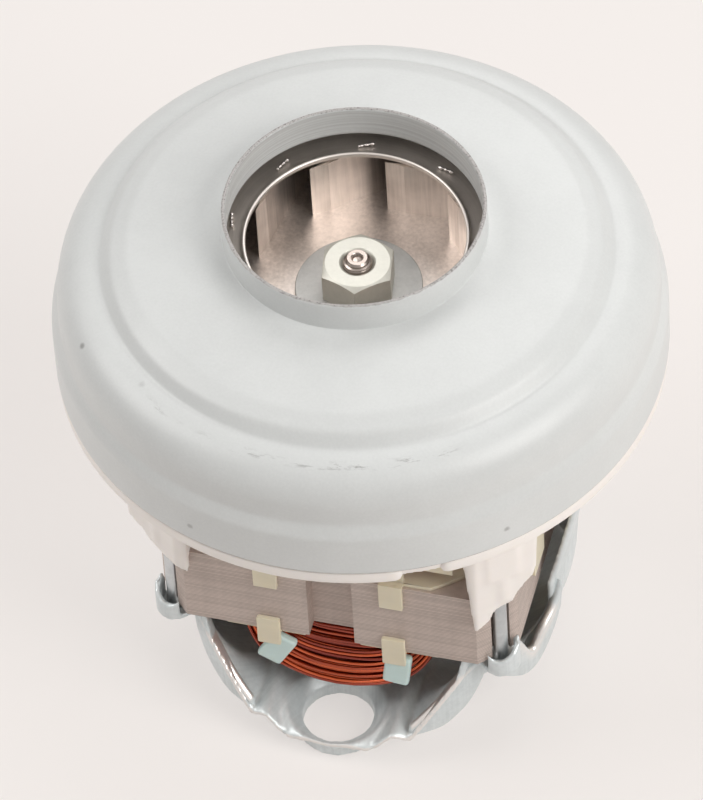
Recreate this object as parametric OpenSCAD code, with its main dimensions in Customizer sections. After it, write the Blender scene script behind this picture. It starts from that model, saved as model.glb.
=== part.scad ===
// Vacuum cleaner motor unit: a sheet steel fan cover over a riveted impeller, a moulded diffuser
// frame, a two pole universal motor with open field coils, and a pressed steel bracket.
// Millimetres, +Z up. The origin is on the shaft axis, on the surface that the unit stands on.
// The front, with the open window of the bracket, faces -Y.

/* [Bracket] */
// Thickness of the pressed steel sheet
sheet_t = 1.5; // [1.2:0.1:1.8]
// Outer radius of the bowl
bowl_r = 49; // [48.8:0.1:49.4]
// Outer radius of the bend between the floor and the wall
bowl_bend_r = 22; // [21:0.5:22]
// Height of the bowl's floor above the resting plane, underside
floor_z = 7; // [6.6:0.1:8]
// Depth that the channels are pressed below the floor
channel_depth = 2.8; // [2:0.1:3.2]
// Half width of the flat of a channel
channel_half_w = 9.5; // [9:0.1:10]
// Radius of the mounting holes in the channels
hole_r = 8.6; // [7.5:0.1:8.8]
// Distance of the mounting holes' centres in from the bracket's lip
hole_inset = 11.5; // [11:0.1:12.7]
// Half width of a window at its top
window_top_half = 31.5; // [30.5:0.1:32]
// Half width of a window at its knee
window_knee_half = 30; // [29:0.1:30.4]
// Half width of a window at the floor
window_floor_half = 19; // [17:0.1:21]
// Height of a window's knee above the floor
window_knee_h = 17.5; // [15:0.5:19]
// Height of the lips of the ears above their shelves
ear_lip_h = 3.4; // [2.5:0.1:4.5]
// How far the arm on the right leans out at its top
arm_lean = 4.5; // [3:0.1:5]
// Half width of the arm at its root
arm_root_half = 13; // [11:0.5:13.5]
// Half width of the arm near its top
arm_top_half = 6.5; // [5:0.5:8]
// Width of the rounded notches in the wall beside the arm
side_notch_w = 14; // [12:0.5:14]

/* [Stator] */
// Height of the stator seat, the rim of the bowl
core_z = 33.8; // [33:0.1:35]
// Height of the lamination stack
core_h = 24; // [22:0.5:26]
// Width of the stack
core_w = 87.4; // [86:0.2:89]
// Depth of the stack
core_d = 80.2; // [79:0.2:81]
// Radius of the stack's rounded corners, about the axis
core_r = 53.6; // [53:0.1:54]
// Radius of the rotor bore
bore_r = 22.6; // [22.4:0.1:23]
// Half width of the coil window in the stack
slot_half = 31; // [30:0.1:31.5]
// Half width of a pole neck
neck_half = 14; // [12:0.5:14.5]
// Radial thickness of the pole shoes
shoe_t = 3.9; // [3:0.1:4.2]
// Width of the notch in the front and rear faces
notch_w = 11.1; // [8:0.1:13]
// Depth of that notch
notch_d = 4.4; // [3:0.1:5]
// Distance of the frame screws from the axis along X
screw_x = 40.1; // [39.8:0.1:40.4]
// Distance of the frame screws from the axis along Y
screw_y = 35.2; // [35:0.1:35.5]
// Radius of a frame screw
screw_r = 1.75; // [1.5:0.05:1.9]

/* [Field coils] */
// Diameter of the wire
wire_d = 1.1; // [0.9:0.05:1.15]
// Turns in each of the two layers of a coil
coil_turns = 7; // [5:1:7]
// Spacing of the turns at the coil sides
coil_side_pitch = 1.6; // [1.6:0.05:1.7]
// Spacing of the turns at the end turns
coil_end_pitch = 2.1; // [1.7:0.05:2.2]
// Spacing of the two layers
coil_layer_pitch = 1.8; // [1.75:0.05:1.9]
// How far the end turns bulge outwards
coil_bulge = 7.4; // [5:0.1:7.6]

/* [Insulators] */
// Thickness of the nylon end plates and tabs
nylon_t = 1.2; // [1:0.1:1.4]
// Width of a nylon tab
tab_w = 5.7; // [4.5:0.1:6.5]
// Distance of the tabs from the middle
tab_x = 15.3; // [14:0.1:16]
// How far the tabs lap over the faces of the stack
tab_lap = 6; // [4:0.2:8]

/* [Fan] */
// Distance of the impeller's edge in from the rim of the cover
impeller_inset = 10; // [9:0.5:12]
// Thickness of the impeller's discs
disc_t = 1; // [0.8:0.1:1.2]
// Radius of the impeller's eye
eye_r = 25.5; // [24:0.1:26.5]
// Height of the eye's lip above the rear disc
eye_h = 18.8; // [17:0.1:19.2]
// Height of the blades at their tips
blade_tip_h = 9.2; // [8:0.2:9.6]
// Number of blades
blade_count = 9; // [7:1:10]
// Thickness of a blade
blade_t = 0.8; // [0.6:0.1:1]
// Radius of the clamp washer
washer_r = 14.9; // [12:0.1:16]
// Width of the impeller nut across its flats
nut_af = 16; // [13:0.5:17]
// Height of the impeller nut
nut_h = 8.3; // [6:0.1:8.8]

/* [Fan cover] */
// Radius of the cover's rim
cover_r = 72; // [71.5:0.1:74]
// Thickness of the cover's sheet
cover_t = 1; // [0.8:0.1:1.1]
// Height of the cover, from the rim to the lip of the collar
cover_h = 46.6; // [46:0.2:49]
// Outer radius of the inlet collar
inlet_r = 30.7; // [29.5:0.1:32]
// Height of the inlet collar
inlet_h = 8; // [6:0.1:8.6]
// Distance of the step ring in from the rim of the cover
step_inset = 12.5; // [11.5:0.1:16]
// Height of the wide band round the rim
band_h = 12.6; // [10:0.2:14]

/* [Diffuser frame] */
// Height of the frame's flange above the stack
frame_rise = 38.6; // [38:0.2:42]
// Thickness of the flange
flange_t = 2; // [1.6:0.1:2.4]
// Wall of the legs and the hub
frame_wall = 2.6; // [2:0.1:3]
// How far the legs lap over the stack
leg_lap = 8.8; // [6:0.2:10]
// Number of return vanes in the guide disc
vane_count = 11; // [9:1:13]

/* [Rotor] */
// Radius of the armature
armature_r = 22; // [21.5:0.1:22.2]
// Number of armature slots and commutator bars
armature_slots = 22; // [18:2:24]
// Radius of the shaft in the bearings
journal_r = 4; // [3.8:0.1:4.2]
// Radius of the shaft in the armature
shaft_r = 5; // [4.6:0.1:5.4]
// Radius of the threaded nose of the shaft
nose_r = 3.5; // [3:0.1:3.6]
// Radius of the commutator
commutator_r = 12; // [11:0.1:12.5]
// Length of the commutator's bars
commutator_h = 16; // [14:0.2:16.4]

/* [Bearings] */
// Outer radius of the ball bearings
bearing_r = 11; // [10.8:0.1:11.4]
// Width of the ball bearings
bearing_w = 7; // [6.6:0.1:7.2]
// Radius of a ball
ball_r = 1.98; // [1.8:0.02:2]
// Number of balls
ball_count = 7; // [5:1:7]

/* [Brush gear] */
// Width of a carbon brush
brush_w = 6.6; // [5:0.1:7]
// Height of a carbon brush
brush_h = 9.6; // [8:0.1:10]
// Distance of the brush tubes' outer ends in from the outside of the bowl
tube_inset = 12; // [11.5:0.1:14]
// Travel of a brush against its spring
brush_travel = 5; // [3:0.5:5.5]
// Wall of the brass brush tubes
tube_t = 0.6; // [0.5:0.1:0.8]

/* [Fits] */
// Gap between parts that are pressed or screwed together
seat_gap = 0.02; // [0.01:0.01:0.05]
// Gap between moving parts
run_gap = 0.1; // [0.08:0.01:0.15]
// Gap between parts that only lie side by side
part_gap = 0.3; // [0.2:0.05:0.4]

/* [Hidden] */
$fn = 72;
cut = 1;
far = 200;
// Bracket
bowl_in = bowl_r - sheet_t;
floor_top = floor_z + sheet_t;
bend_at = [bowl_r - bowl_bend_r, floor_z + bowl_bend_r];
channel_slope_w = 6;
window_depth = 40;
lip_out = 1.7;
lip_r = bowl_r + lip_out;
hole_offset = lip_r - hole_inset;
knee_z = floor_top + window_knee_h;
wing_t = 1.18 * sheet_t;
joint_lap = 0.4;
cup_r = bearing_r + seat_gap;
cup_floor = 1.8;
hole_sides = [-1, 1];
ear_t = sheet_t;
ear_z = core_z - 4.2;
ear_in_r = screw_r + 1.35;
ear_out_r = ear_in_r + sheet_t;
screw_dist = norm([screw_x, screw_y]);
screw_a = atan2(screw_y, screw_x);
arm_bend_z = core_z + 1;
arm_top = core_z + 26.6;
side_notch_z = floor_top + 9.5;
// Stator
core_top = core_z + core_h;
core_mid = core_z + core_h / 2;
notch_r = screw_r + 0.85;
shoe_r = bore_r + shoe_t;
shoe_half_a = 60;
corners = [[1, 1], [-1, 1], [-1, -1], [1, -1]];
// Field coils
wire_r = wire_d / 2;
loop_rings = 24;
wire_sides = 6;
coil_first_a = neck_half + 2.2;
coil_first_b = core_h / 2 + nylon_t + 2.9;
coil_v = shoe_r + 1.5;
coil_square = 0.55;
coil_straight = core_h / 2 + nylon_t;
coil_last_b = coil_first_b + coil_end_pitch * coil_turns;
coil_first_lean = [1.4, 1.2];
coil_last_lean = [-1.6, -1.6];
coil_count = 2 * coil_turns;
neck_inset = 2;
reverse_from = coil_turns - 0.25;
reverse_to = coil_turns + 0.25;
// Insulators and clips
plate_rim = 1;
tab_root = 3;
tab_drop = 4.4;
wing_w = 15;
wing_h = 14;
side_tab_w = 9;
side_tab_h = 14;
side_tab_y = -19;
clip_w = 6;
clip_t = 1.4;
clip_h = 9;
clip_drop = 9.4;
clip_hook = 4.4;
// Diffuser frame
frame_z = core_top + frame_rise;
rim_z = frame_z + flange_t;
flange_r = cover_r - 1.2;
cover_bore = cover_r - cover_t;
spigot_r = cover_bore - 0.1;
spigot_h = 6;
ring_w = 13.8;
ring_in = flange_r - ring_w;
hub_r = cup_r + frame_wall;
rib_count = 8;
rib_w = 2.6;
rib_h = 7;
leg_front_x = 33.5;
leg_side = [51, 32];
leg_front_y = core_d / 2 + frame_wall;
boss_r = screw_r + frame_wall;
screw_seat = core_top + 14;
head_r = 3.4;
head_h = 2.6;
flange_notch_a = -59.8;
flange_notch_w = 4.4;
// Fan bearing, spacer and impeller
impeller_r = cover_r - impeller_inset;
fan_bearing_z = frame_z + 1;
spacer_h = 10;
disc_z = fan_bearing_z + bearing_w + spacer_h;
blade_z = disc_z + disc_t;
washer_t = 1.5;
nut_z = blade_z + washer_t;
shaft_top = nut_z + nut_h + 1.6;
eye_z = blade_z + eye_h;
neck_w = 2.5;
eye_lip_h = 1.5;
shroud_in_r = eye_r + neck_w;
shroud_in_z = eye_z - eye_lip_h;
shroud_out_z = blade_z + blade_tip_h + disc_t;
blade_top_z = shroud_in_z - disc_t - seat_gap;
blade_in_r = eye_r + part_gap;
blade_out_r = impeller_r - 2 * part_gap;
blade_sweep_a = 63;
blade_bend_r = 180;
blade_first_a = 3;
nut_turn_a = 39.5;
nut_sink = 0.8;
guide_rise = 11;
guide_z = rim_z + guide_rise;
guide_t = 1.6;
guide_lap = 1;
guide_r = impeller_r + guide_lap;
vane_in_r = 24;
vane_sweep_a = 50;
vane_bend_r = 44;
vane_t = 1.6;
// Cover
step_r = cover_r - step_inset;
plate_z = rim_z + cover_h - inlet_h;
collar_top = rim_z + cover_h;
collar_fillet = 1.6;
plate_drop = 3.2;
plate_edge_w = 6.4;
riser_drop = 4.8;
riser_w = 2.6;
valley_drop = 7.8;
wall_inset = 1.8;
wall_r = cover_r - wall_inset;
shoulder_r = 10;
shoulder_drop = 18;
shoulder_z = plate_z - shoulder_drop;
shoulder_a = 80;
band_z = rim_z + band_h;
band_blend = 3.6;
// Rotor
rear_bearing_z = cup_floor + 0.5;
shaft_bottom = rear_bearing_z + 0.3;
commutator_z = rear_bearing_z + bearing_w + 2.7;
commutator_top = commutator_z + commutator_h;
bar_depth = 3.6;
winding_low = commutator_top + 1;
winding_r = armature_r - 1.5;
winding_in_r = shaft_r + 1.5;
winding_edge_r = 3;
winding_top_h = 12;
slot_r = 1.7;
slot_at = armature_r - 4.2;
slot_mouth_w = 1;
// Bearings
ball_pitch = (bearing_r + journal_r) / 2;
inner_land = ball_pitch - 1.2;
outer_land = ball_pitch + 1.2;
cage_half_t = 0.55;
cage_half_h = ball_r + 0.6;
// Brush gear
brush_z = commutator_z + commutator_h / 2 - 0.5;
brush_tip = commutator_r + run_gap;
spring_wire_r = 0.35;
spring_turns = 6;
spring_slack = 0.7;
tube_end = bowl_r - tube_inset;
brush_l = tube_end - brush_tip - brush_travel - 2 * spring_wire_r * spring_turns - spring_slack;
tube_start = commutator_r + 2;
holder_start = tube_start + 2.5;
holder_end = tube_end - 3;
holder_half_w = 7.4;
holder_wall = 2.4;
holder_low = brush_z - brush_h / 2 - holder_wall;
foot_half_w = 12;
foot_l = 7;
foot_h = 3;
foot_screw_y = 9.6;
foot_screw_x = holder_start + foot_l / 2;
foot_screw_r = 1.5;
spring_r = 2.6;

// Shared helpers

module at(z) { translate([0, 0, z]) children(); }

module tube(r_out, r_in, z0, z1) {
    at(z0) difference() {
        cylinder(r = r_out, h = z1 - z0);
        at(-cut) cylinder(r = r_in, h = z1 - z0 + 2 * cut);
    }
}

module each_screw() {
    for (c = corners)
        translate([c[0] * screw_x, c[1] * screw_y, 0]) children();
}

// Mirrors its children in X and Y where the signs are negative
module flip(x, y) {
    mirror([x < 0 ? 1 : 0, 0, 0]) mirror([0, y < 0 ? 1 : 0, 0]) children();
}

module each_corner() {
    for (c = corners)
        flip(c[0], c[1]) children();
}

function unit(v) = v / norm(v);
function clamp01(x) = max(0, min(1, x));
function signed_power(x, p) = sign(x) * pow(abs(x), p);

// A round wire swept along a path, with closed ends; side is a direction that the path never takes
module sweep_wire(path, r, sides, side) {
    last = len(path) - 1;
    rings = [for (i = [0 : last])
        let (t = unit(path[min(i + 1, last)] - path[max(i - 1, 0)]), n = unit(cross(t, side)))
        let (b = cross(t, n))
        for (s = [0 : sides - 1]) path[i] + r * (cos(360 * s / sides) * n + sin(360 * s / sides) * b)];
    skin = [for (i = [0 : last - 1], s = [0 : sides - 1])
        let (s2 = (s + 1) % sides, a = i * sides + s, b = i * sides + s2, c = a + sides, d = b + sides)
        each [[a, b, c], [b, d, c]]];
    start = [for (s = [1 : sides - 2]) [0, s + 1, s]];
    tail = last * sides;
    end = [for (s = [1 : sides - 2]) [tail, tail + s, tail + s + 1]];
    polyhedron(points = rings, faces = concat(skin, start, end), convexity = 10);
}

// A curved blade seen from above: an arc that leaves the inner radius on +X and turns clockwise by sweep_a
module swept_blade(r_in, r_out, sweep_a, bend_r, t) {
    inner = [r_in, 0];
    outer = r_out * [cos(sweep_a), -sin(sweep_a)];
    spare_a = 12;
    chord = outer - inner;
    across = unit([chord[1], -chord[0]]);
    centre = (inner + outer) / 2 + sqrt(bend_r * bend_r - chord * chord / 4) * across;
    intersection() {
        translate(centre) difference() {
            circle(r = bend_r + t / 2);
            circle(r = bend_r - t / 2);
        }
        difference() {
            circle(r = r_out);
            circle(r = r_in);
        }
        polygon([[0, 0], far * [cos(spare_a), sin(spare_a)], far * [1, -1],
            far * [cos(sweep_a + spare_a), -sin(sweep_a + spare_a)]]);
    }
}

// Fan cover

function cover_profile(t) =
    let (shoulder_x = wall_r - shoulder_r, r = shoulder_r - t) [
    [0, rim_z - (t > 0 ? cut : 0)],
    [cover_r - t, rim_z - (t > 0 ? cut : 0)],
    [cover_r - t, band_z],
    [wall_r - t, band_z + band_blend],
    [wall_r - t, shoulder_z],
    [shoulder_x, shoulder_z],
    [shoulder_x + r * cos(shoulder_a), shoulder_z + r * sin(shoulder_a)],
    [step_r, plate_z - valley_drop - t],
    [step_r - riser_w, plate_z - riser_drop - t],
    [step_r - plate_edge_w, plate_z - plate_drop - t],
    [inlet_r, plate_z - t],
    [0, plate_z - t]
];

module cover_form(t) {
    rotate_extrude() {
        polygon(cover_profile(t));
        translate([wall_r - shoulder_r, shoulder_z])
            intersection() {
                circle(r = shoulder_r - t);
                square(shoulder_r);
            }
    }
}

module fan_cover() {
    color([0.84, 0.86, 0.86]) {
        difference() {
            cover_form(0);
            cover_form(cover_t);
            cylinder(r = inlet_r - cover_t, h = far);
        }
        tube(inlet_r, inlet_r - cover_t, plate_z - cover_t, collar_top);
        rotate_extrude()
            translate([inlet_r - 0.01, plate_z - 0.3])
                difference() {
                    square(collar_fillet);
                    translate([collar_fillet, collar_fillet]) circle(r = collar_fillet);
                }
    }
}

// Diffuser frame and guide disc

module core_outline(grow) {
    intersection() {
        circle(r = core_r + grow);
        square([core_w + 2 * grow, core_d + 2 * grow], center = true);
    }
}

// One leg seen from above, for the corner in the first quadrant
module leg_plan() {
    polygon([
        [leg_front_x, core_d / 2 - 6],
        [leg_front_x, leg_front_y],
        [leg_front_x + 3, leg_front_y],
        leg_side,
        [leg_side[0], leg_side[1] - 5],
        [core_w / 2 - 4, leg_side[1] - 5]
    ]);
}

// The lower edge of a leg seen from the front, as a cut
module leg_edge() {
    tip_z = core_top - leg_lap;
    polygon([
        [leg_front_x - cut, tip_z - cut],
        [leg_front_x - cut, tip_z + 1],
        [leg_front_x + 2.8, tip_z],
        [screw_x - 0.8, tip_z + 2.6],
        [screw_x, tip_z + 5.4],
        [screw_x + 4, tip_z + 5.4],
        [screw_x + 6, tip_z + 8],
        [leg_side[0] + cut, tip_z + 9],
        [leg_side[0] + cut, tip_z - cut]
    ]);
}

module leg() {
    difference() {
        at(core_top - leg_lap) linear_extrude(frame_rise + leg_lap + cut / 2) leg_plan();
        rotate([90, 0, 0]) translate([0, 0, -far / 2]) linear_extrude(far) leg_edge();
        at(-cut) linear_extrude(core_top + cut) core_outline(part_gap);
        at(core_top + frame_wall) linear_extrude(far) intersection() {
            core_outline(part_gap - 2);
            square([2 * leg_side[0], 2 * core_d], center = true);
        }
    }
    translate([screw_x, screw_y, core_top]) cylinder(r = boss_r, h = screw_seat - core_top);
}

module diffuser_frame() {
    color([0.93, 0.91, 0.88])
        difference() {
            union() {
                tube(flange_r, ring_in, frame_z, rim_z);
                tube(spigot_r, spigot_r - frame_wall, frame_z, rim_z + spigot_h);
                tube(hub_r, cup_r, frame_z - rib_h, fan_bearing_z + bearing_w);
                tube(hub_r, bearing_r - 2.2, fan_bearing_z + bearing_w, fan_bearing_z + bearing_w + 1.4);
                for (i = [0 : rib_count - 1])
                    rotate(i * 360 / rib_count)
                        translate([hub_r - 0.8, -rib_w / 2, frame_z - rib_h])
                            cube([ring_in - hub_r + 2, rib_w, rib_h + flange_t]);
                each_corner() leg();
            }
            each_screw() {
                cylinder(r = screw_r + seat_gap, h = far);
                at(screw_seat) cylinder(r = head_r + part_gap, h = far);
            }
            rotate(flange_notch_a)
                translate([spigot_r + seat_gap, -flange_notch_w / 2, frame_z - cut])
                    cube([10, flange_notch_w, far]);
        }
}

module guide_vane_disc() {
    color([0.9, 0.89, 0.86]) {
        tube(guide_r, hub_r + part_gap, guide_z, guide_z + guide_t);
        at(rim_z)
            for (i = [0 : vane_count - 1])
                rotate(i * 360 / vane_count)
                    linear_extrude(guide_z - rim_z + guide_t / 2)
                        swept_blade(vane_in_r, impeller_r, vane_sweep_a, vane_bend_r, vane_t);
    }
}

// Stator

module stator_plan() {
    difference() {
        core_outline(0);
        difference() {
            union() {
                square(2 * slot_half, center = true);
                circle(r = bore_r);
            }
            for (side = [-1, 1]) {
                translate([-neck_half, side > 0 ? bore_r : -slot_half - cut])
                    square([2 * neck_half, slot_half - bore_r + cut]);
                intersection() {
                    difference() {
                        circle(r = shoe_r);
                        circle(r = bore_r);
                    }
                    flip(1, side)
                        polygon([[0, 0], far * [sin(shoe_half_a), cos(shoe_half_a)],
                            far * [-sin(shoe_half_a), cos(shoe_half_a)]]);
                }
            }
        }
        circle(r = bore_r);
        for (c = corners)
            translate([c[0] * screw_x, c[1] * screw_y]) circle(r = notch_r);
        for (side = [-1, 1])
            translate([-notch_w / 2, side > 0 ? core_d / 2 - notch_d : -core_d / 2 - cut])
                square([notch_w, notch_d + cut]);
    }
}

module stator_core() {
    color([0.62, 0.58, 0.56])
        at(core_z) linear_extrude(core_h) stator_plan();
}

// Insulators: an end plate on each face of the stack, with tabs folded over its front and rear

module end_plate_plan(limit_r) {
    neck = 2 * [neck_half - neck_inset, slot_half - shoe_r + neck_inset];
    difference() {
        intersection() {
            circle(r = limit_r);
            square([core_w - 2, core_d - 1.2], center = true);
        }
        difference() {
            intersection() {
                square(2 * (slot_half - part_gap), center = true);
                circle(r = limit_r - plate_rim);
            }
            for (side = [-1, 1])
                translate([0, side * slot_half]) square(neck, center = true);
        }
        for (side = [-1, 1])
            translate([0, side * core_d / 2])
                square([notch_w + 2, 2 * notch_d + 2], center = true);
    }
}

// Tabs along the front and rear faces; low and high are their ends
module face_tabs(low, high, plate) {
    for (side = [-1, 1], x = [-tab_x, tab_x])
        translate([x - tab_w / 2, side > 0 ? core_d / 2 : -core_d / 2 - nylon_t, low])
            cube([tab_w, nylon_t, high - low]);
    for (side = [-1, 1], x = [-tab_x, tab_x])
        translate([x - tab_w / 2, side > 0 ? core_d / 2 - tab_root : -core_d / 2 - nylon_t, plate])
            cube([tab_w, tab_root + nylon_t, nylon_t]);
}

module insulator_top() {
    color([0.82, 0.8, 0.7]) {
        at(core_top) linear_extrude(nylon_t) end_plate_plan(core_r - 7);
        face_tabs(core_top - tab_lap - nylon_t, core_top + nylon_t, core_top);
        for (side = [-1, 1])
            flip(1, side) {
                translate([tab_x - tab_w / 2, core_d / 2 - 2, core_top]) cube([tab_w, nylon_t, wing_h]);
                translate([tab_x, core_d / 2 - 2, core_top + wing_h / 2])
                    cube([wing_w, nylon_t, wing_h / 2]);
            }
        translate([core_w / 2, side_tab_y, core_top - side_tab_h])
            cube([nylon_t, side_tab_w, side_tab_h + nylon_t]);
        translate([core_w / 2 - tab_root, side_tab_y, core_top])
            cube([tab_root + nylon_t, side_tab_w, nylon_t]);
    }
}

module insulator_bottom() {
    color([0.82, 0.8, 0.7]) {
        at(core_z - nylon_t) linear_extrude(nylon_t) end_plate_plan(bowl_in - part_gap);
        face_tabs(core_z - tab_drop, core_z + tab_lap - nylon_t, core_z - nylon_t);
    }
}

// Pale clips hooked under the lower tabs, which hold the end turns up
module clip() {
    translate([-clip_w / 2, -core_d / 2 - nylon_t - clip_t, core_z - clip_drop]) {
        cube([clip_w, clip_t, clip_h]);
        cube([clip_w, clip_hook, clip_t]);
    }
}

module coil_clips() {
    color([0.7, 0.85, 0.84])
        for (side = [1, -1], x = [-tab_x, tab_x])
            flip(1, side) translate([x, 0, 0]) clip();
}

// Field coils: each wire spirals out through one layer and back in through the other

function coil_turn(tau) =
    tau < reverse_from ? tau : tau > reverse_to ? coil_count - tau : reverse_from;
function coil_layer(tau) = clamp01((tau - reverse_from) / (reverse_to - reverse_from));
function coil_point(tau) =
    let (turn = coil_turn(tau),
        a = coil_first_a + coil_side_pitch * turn,
        b = coil_first_b + coil_end_pitch * turn,
        phi = 90 + 360 * tau,
        x = a * signed_power(cos(phi), coil_square),
        dz = b * signed_power(sin(phi), coil_square),
        lift = clamp01((abs(dz) - coil_straight) / (coil_last_b - coil_straight)),
        v = coil_v + coil_layer_pitch * coil_layer(tau) + coil_bulge * lift)
    [x, -v, core_mid + dz];
// A lead runs straight up from the top insulator and leans over to the end of the winding
function coil_lead(end, lean) =
    let (foot = [end[0] + lean[0], end[1] + lean[1], core_top + nylon_t])
    [foot, foot + [0, 0, wire_d], (foot + [0, 0, wire_d] + end) / 2 + [0, 0, 0.25 * wire_d]];
function reversed(list) = [for (i = [len(list) - 1 : -1 : 0]) list[i]];
function coil_path() =
    let (turns = [for (i = [0 : coil_count * loop_rings]) coil_point(i / loop_rings)],
        last_lead = coil_lead(turns[len(turns) - 1], coil_last_lean))
    concat(coil_lead(turns[0], coil_first_lean), turns, reversed(last_lead));
function least_gap(path, skip) =
    let (last = len(path) - 1)
    min([for (i = [0 : last], j = [i + skip : 1 : last]) norm(path[i] - path[j])]) - wire_d;

module field_coil() {
    path = coil_path();
    echo(least_gap_between_turns = least_gap(path, loop_rings / 2));
    sweep_wire(path, wire_r, wire_sides, [0, 1, 0]);
}

module field_coil_front() { color([0.72, 0.3, 0.15]) field_coil(); }
module field_coil_rear() { color([0.72, 0.3, 0.15]) rotate(180) field_coil(); }

// Bracket

module bowl_profile() {
    translate([0, floor_z]) square([bend_at[0], sheet_t]);
    polygon([
        [bowl_in, bend_at[1]], [bowl_r, bend_at[1]], [bowl_r, arm_bend_z], [bowl_r + arm_lean, arm_top],
        [bowl_in + arm_lean, arm_top], [bowl_in, arm_bend_z]
    ]);
    translate(bend_at)
        intersection() {
            difference() {
                circle(r = bowl_bend_r);
                circle(r = bowl_bend_r - sheet_t);
            }
            translate([0, -bowl_bend_r]) square(bowl_bend_r);
        }
}

// The space inside the bowl, let a little into its sheet
module bowl_space() {
    r = bowl_bend_r - sheet_t + joint_lap;
    rotate_extrude() {
        translate([0, floor_top - joint_lap]) square([bend_at[0], far]);
        translate([0, bend_at[1]]) square([bend_at[0] + r, far]);
        translate(bend_at)
            intersection() {
                circle(r = r);
                translate([0, -r]) square(r);
            }
    }
}

module window_plan() {
    half = [for (side = [-1, 1]) [
        [side * (window_floor_half + joint_lap), floor_top],
        [side * (window_knee_half + joint_lap), knee_z],
        [side * (window_top_half + joint_lap), core_z + cut]
    ]];
    polygon(concat(half[0], reversed(half[1])));
}

// A wing seen from the front: it rises from the edge of the tongue to the stator seat
module wing_section() {
    slope = (window_knee_half - window_floor_half) / window_knee_h;
    foot_x = window_knee_half + wing_t - (knee_z - floor_z) * slope;
    polygon([
        [window_floor_half - 2, floor_z], [foot_x, floor_z], [window_knee_half + wing_t, knee_z],
        [window_top_half + wing_t, core_z], [window_top_half, core_z], [window_knee_half, knee_z],
        [window_floor_half, floor_top], [window_floor_half - 2, floor_top]
    ]);
}

module wings() {
    difference() {
        intersection() {
            cylinder(r = lip_r, h = core_z);
            for (side = [-1, 1])
                channel_run() flip(side, 1) wing_section();
        }
        bowl_space();
    }
}

// Cross section of a channel: a flat bottom between two sloping sides
module channel_section(drop) {
    top = floor_top + drop;
    low = top - channel_depth;
    out = channel_half_w + channel_slope_w;
    polygon([[-out, top], [-channel_half_w, low], [channel_half_w, low], [out, top]]);
}

module channel_run() {
    rotate([90, 0, 0]) linear_extrude(lip_r + cut) children();
}

module window_cut() {
    translate([0, -window_depth / 2, 0]) rotate([90, 0, 0]) linear_extrude(window_depth) window_plan();
}

// An ear: a shelf outside the wall with a half round lip about the frame screw
module ear() {
    lip_z = ear_z + ear_t + ear_lip_h;
    tip_rise = 5;
    rotate(screw_a) {
        translate([screw_dist, 0, ear_z]) cylinder(r = ear_out_r, h = ear_t);
        translate([bowl_in + 0.5, -ear_out_r, ear_z])
            cube([screw_dist - bowl_in - 0.5, 2 * ear_out_r, ear_t]);
        difference() {
            translate([screw_dist, 0, 0]) tube(ear_out_r, ear_in_r, ear_z, lip_z + tip_rise);
            translate([-far + screw_dist + 0.7, -far / 2, ear_z + ear_t]) cube([far, far, far]);
            translate([screw_dist, ear_in_r, lip_z])
                rotate([-30, 0, 0]) translate([-far / 2, -far, 0]) cube([far, far, far]);
        }
    }
}

// The arm seen from the right
module arm_outline() {
    half = [for (side = [1, -1]) [
        [side * arm_root_half, core_z - cut],
        [side * (arm_root_half - 2.2), core_z + 4],
        [side * (arm_top_half + 1.5), arm_top - 10],
        [side * arm_top_half, arm_top - 3],
        [side * (arm_top_half - 2.5), arm_top + cut]
    ]];
    polygon(concat(half[0], reversed(half[1])));
}

// All that stands above the rim, save the arm
module above_rim() {
    difference() {
        translate([-far / 2, -far / 2, core_z]) cube(far);
        rotate([90, 0, 90]) linear_extrude(far) arm_outline();
    }
}

module side_notch() {
    r = side_notch_w / 2;
    translate([0, arm_root_half + r, side_notch_z + r]) {
        rotate([0, 90, 0]) cylinder(r = r, h = far);
        translate([0, -r, 0]) cube([far, 2 * r, far]);
    }
}

module tongue() {
    intersection() {
        cylinder(r = lip_r, h = floor_top);
        union() {
            channel_run()
                difference() {
                    translate([-window_floor_half, floor_z - channel_depth])
                        square([2 * window_floor_half, sheet_t + channel_depth]);
                    channel_section(0);
                    difference() {
                        translate([-far / 2, -cut]) square([far, floor_z + cut]);
                        channel_section(-sheet_t);
                    }
                }
            translate([0, -hole_offset, 0])
                cylinder(r = hole_r + sheet_t, h = floor_z - channel_depth + sheet_t);
        }
    }
}

module motor_bracket() {
    color([0.74, 0.76, 0.77])
        difference() {
            union() {
                difference() {
                    rotate_extrude() bowl_profile();
                    above_rim();
                    for (side = [-1, 1])
                        flip(1, side) side_notch();
                    for (turn = [0, 180])
                        rotate(turn) {
                            window_cut();
                            channel_run() channel_section(0);
                        }
                }
                for (turn = [0, 180])
                    rotate(turn) {
                        tongue();
                        wings();
                    }
                at(cup_floor - sheet_t) cylinder(r = cup_r + sheet_t, h = floor_top - cup_floor + sheet_t);
                each_corner() ear();
            }
            for (side = hole_sides)
                translate([0, side * hole_offset, -cut]) cylinder(r = hole_r, h = floor_top + 2 * cut);
            at(cup_floor) cylinder(r = cup_r, h = far);
            at(-cut) cylinder(r = journal_r + 1.5, h = far);
            each_screw() cylinder(r = screw_r + seat_gap, h = core_z);
            for (x = [-foot_screw_x, foot_screw_x], y = [-foot_screw_y, foot_screw_y])
                translate([x, y, -cut]) cylinder(r = foot_screw_r + seat_gap, h = far / 4);
        }
}

module frame_screws() {
    color([0.72, 0.73, 0.74])
        each_screw() {
            at(ear_z - 1.5) cylinder(r = screw_r, h = screw_seat - ear_z + 1.5);
            at(screw_seat) difference() {
                cylinder(r = head_r, h = head_h);
                translate([-0.5, -head_r, head_h - 1]) cube([1, 2 * head_r, 2]);
            }
        }
}

// Ball bearings

module race_groove() {
    translate([ball_pitch, bearing_w / 2]) circle(r = ball_r + run_gap / 2);
}

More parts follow.
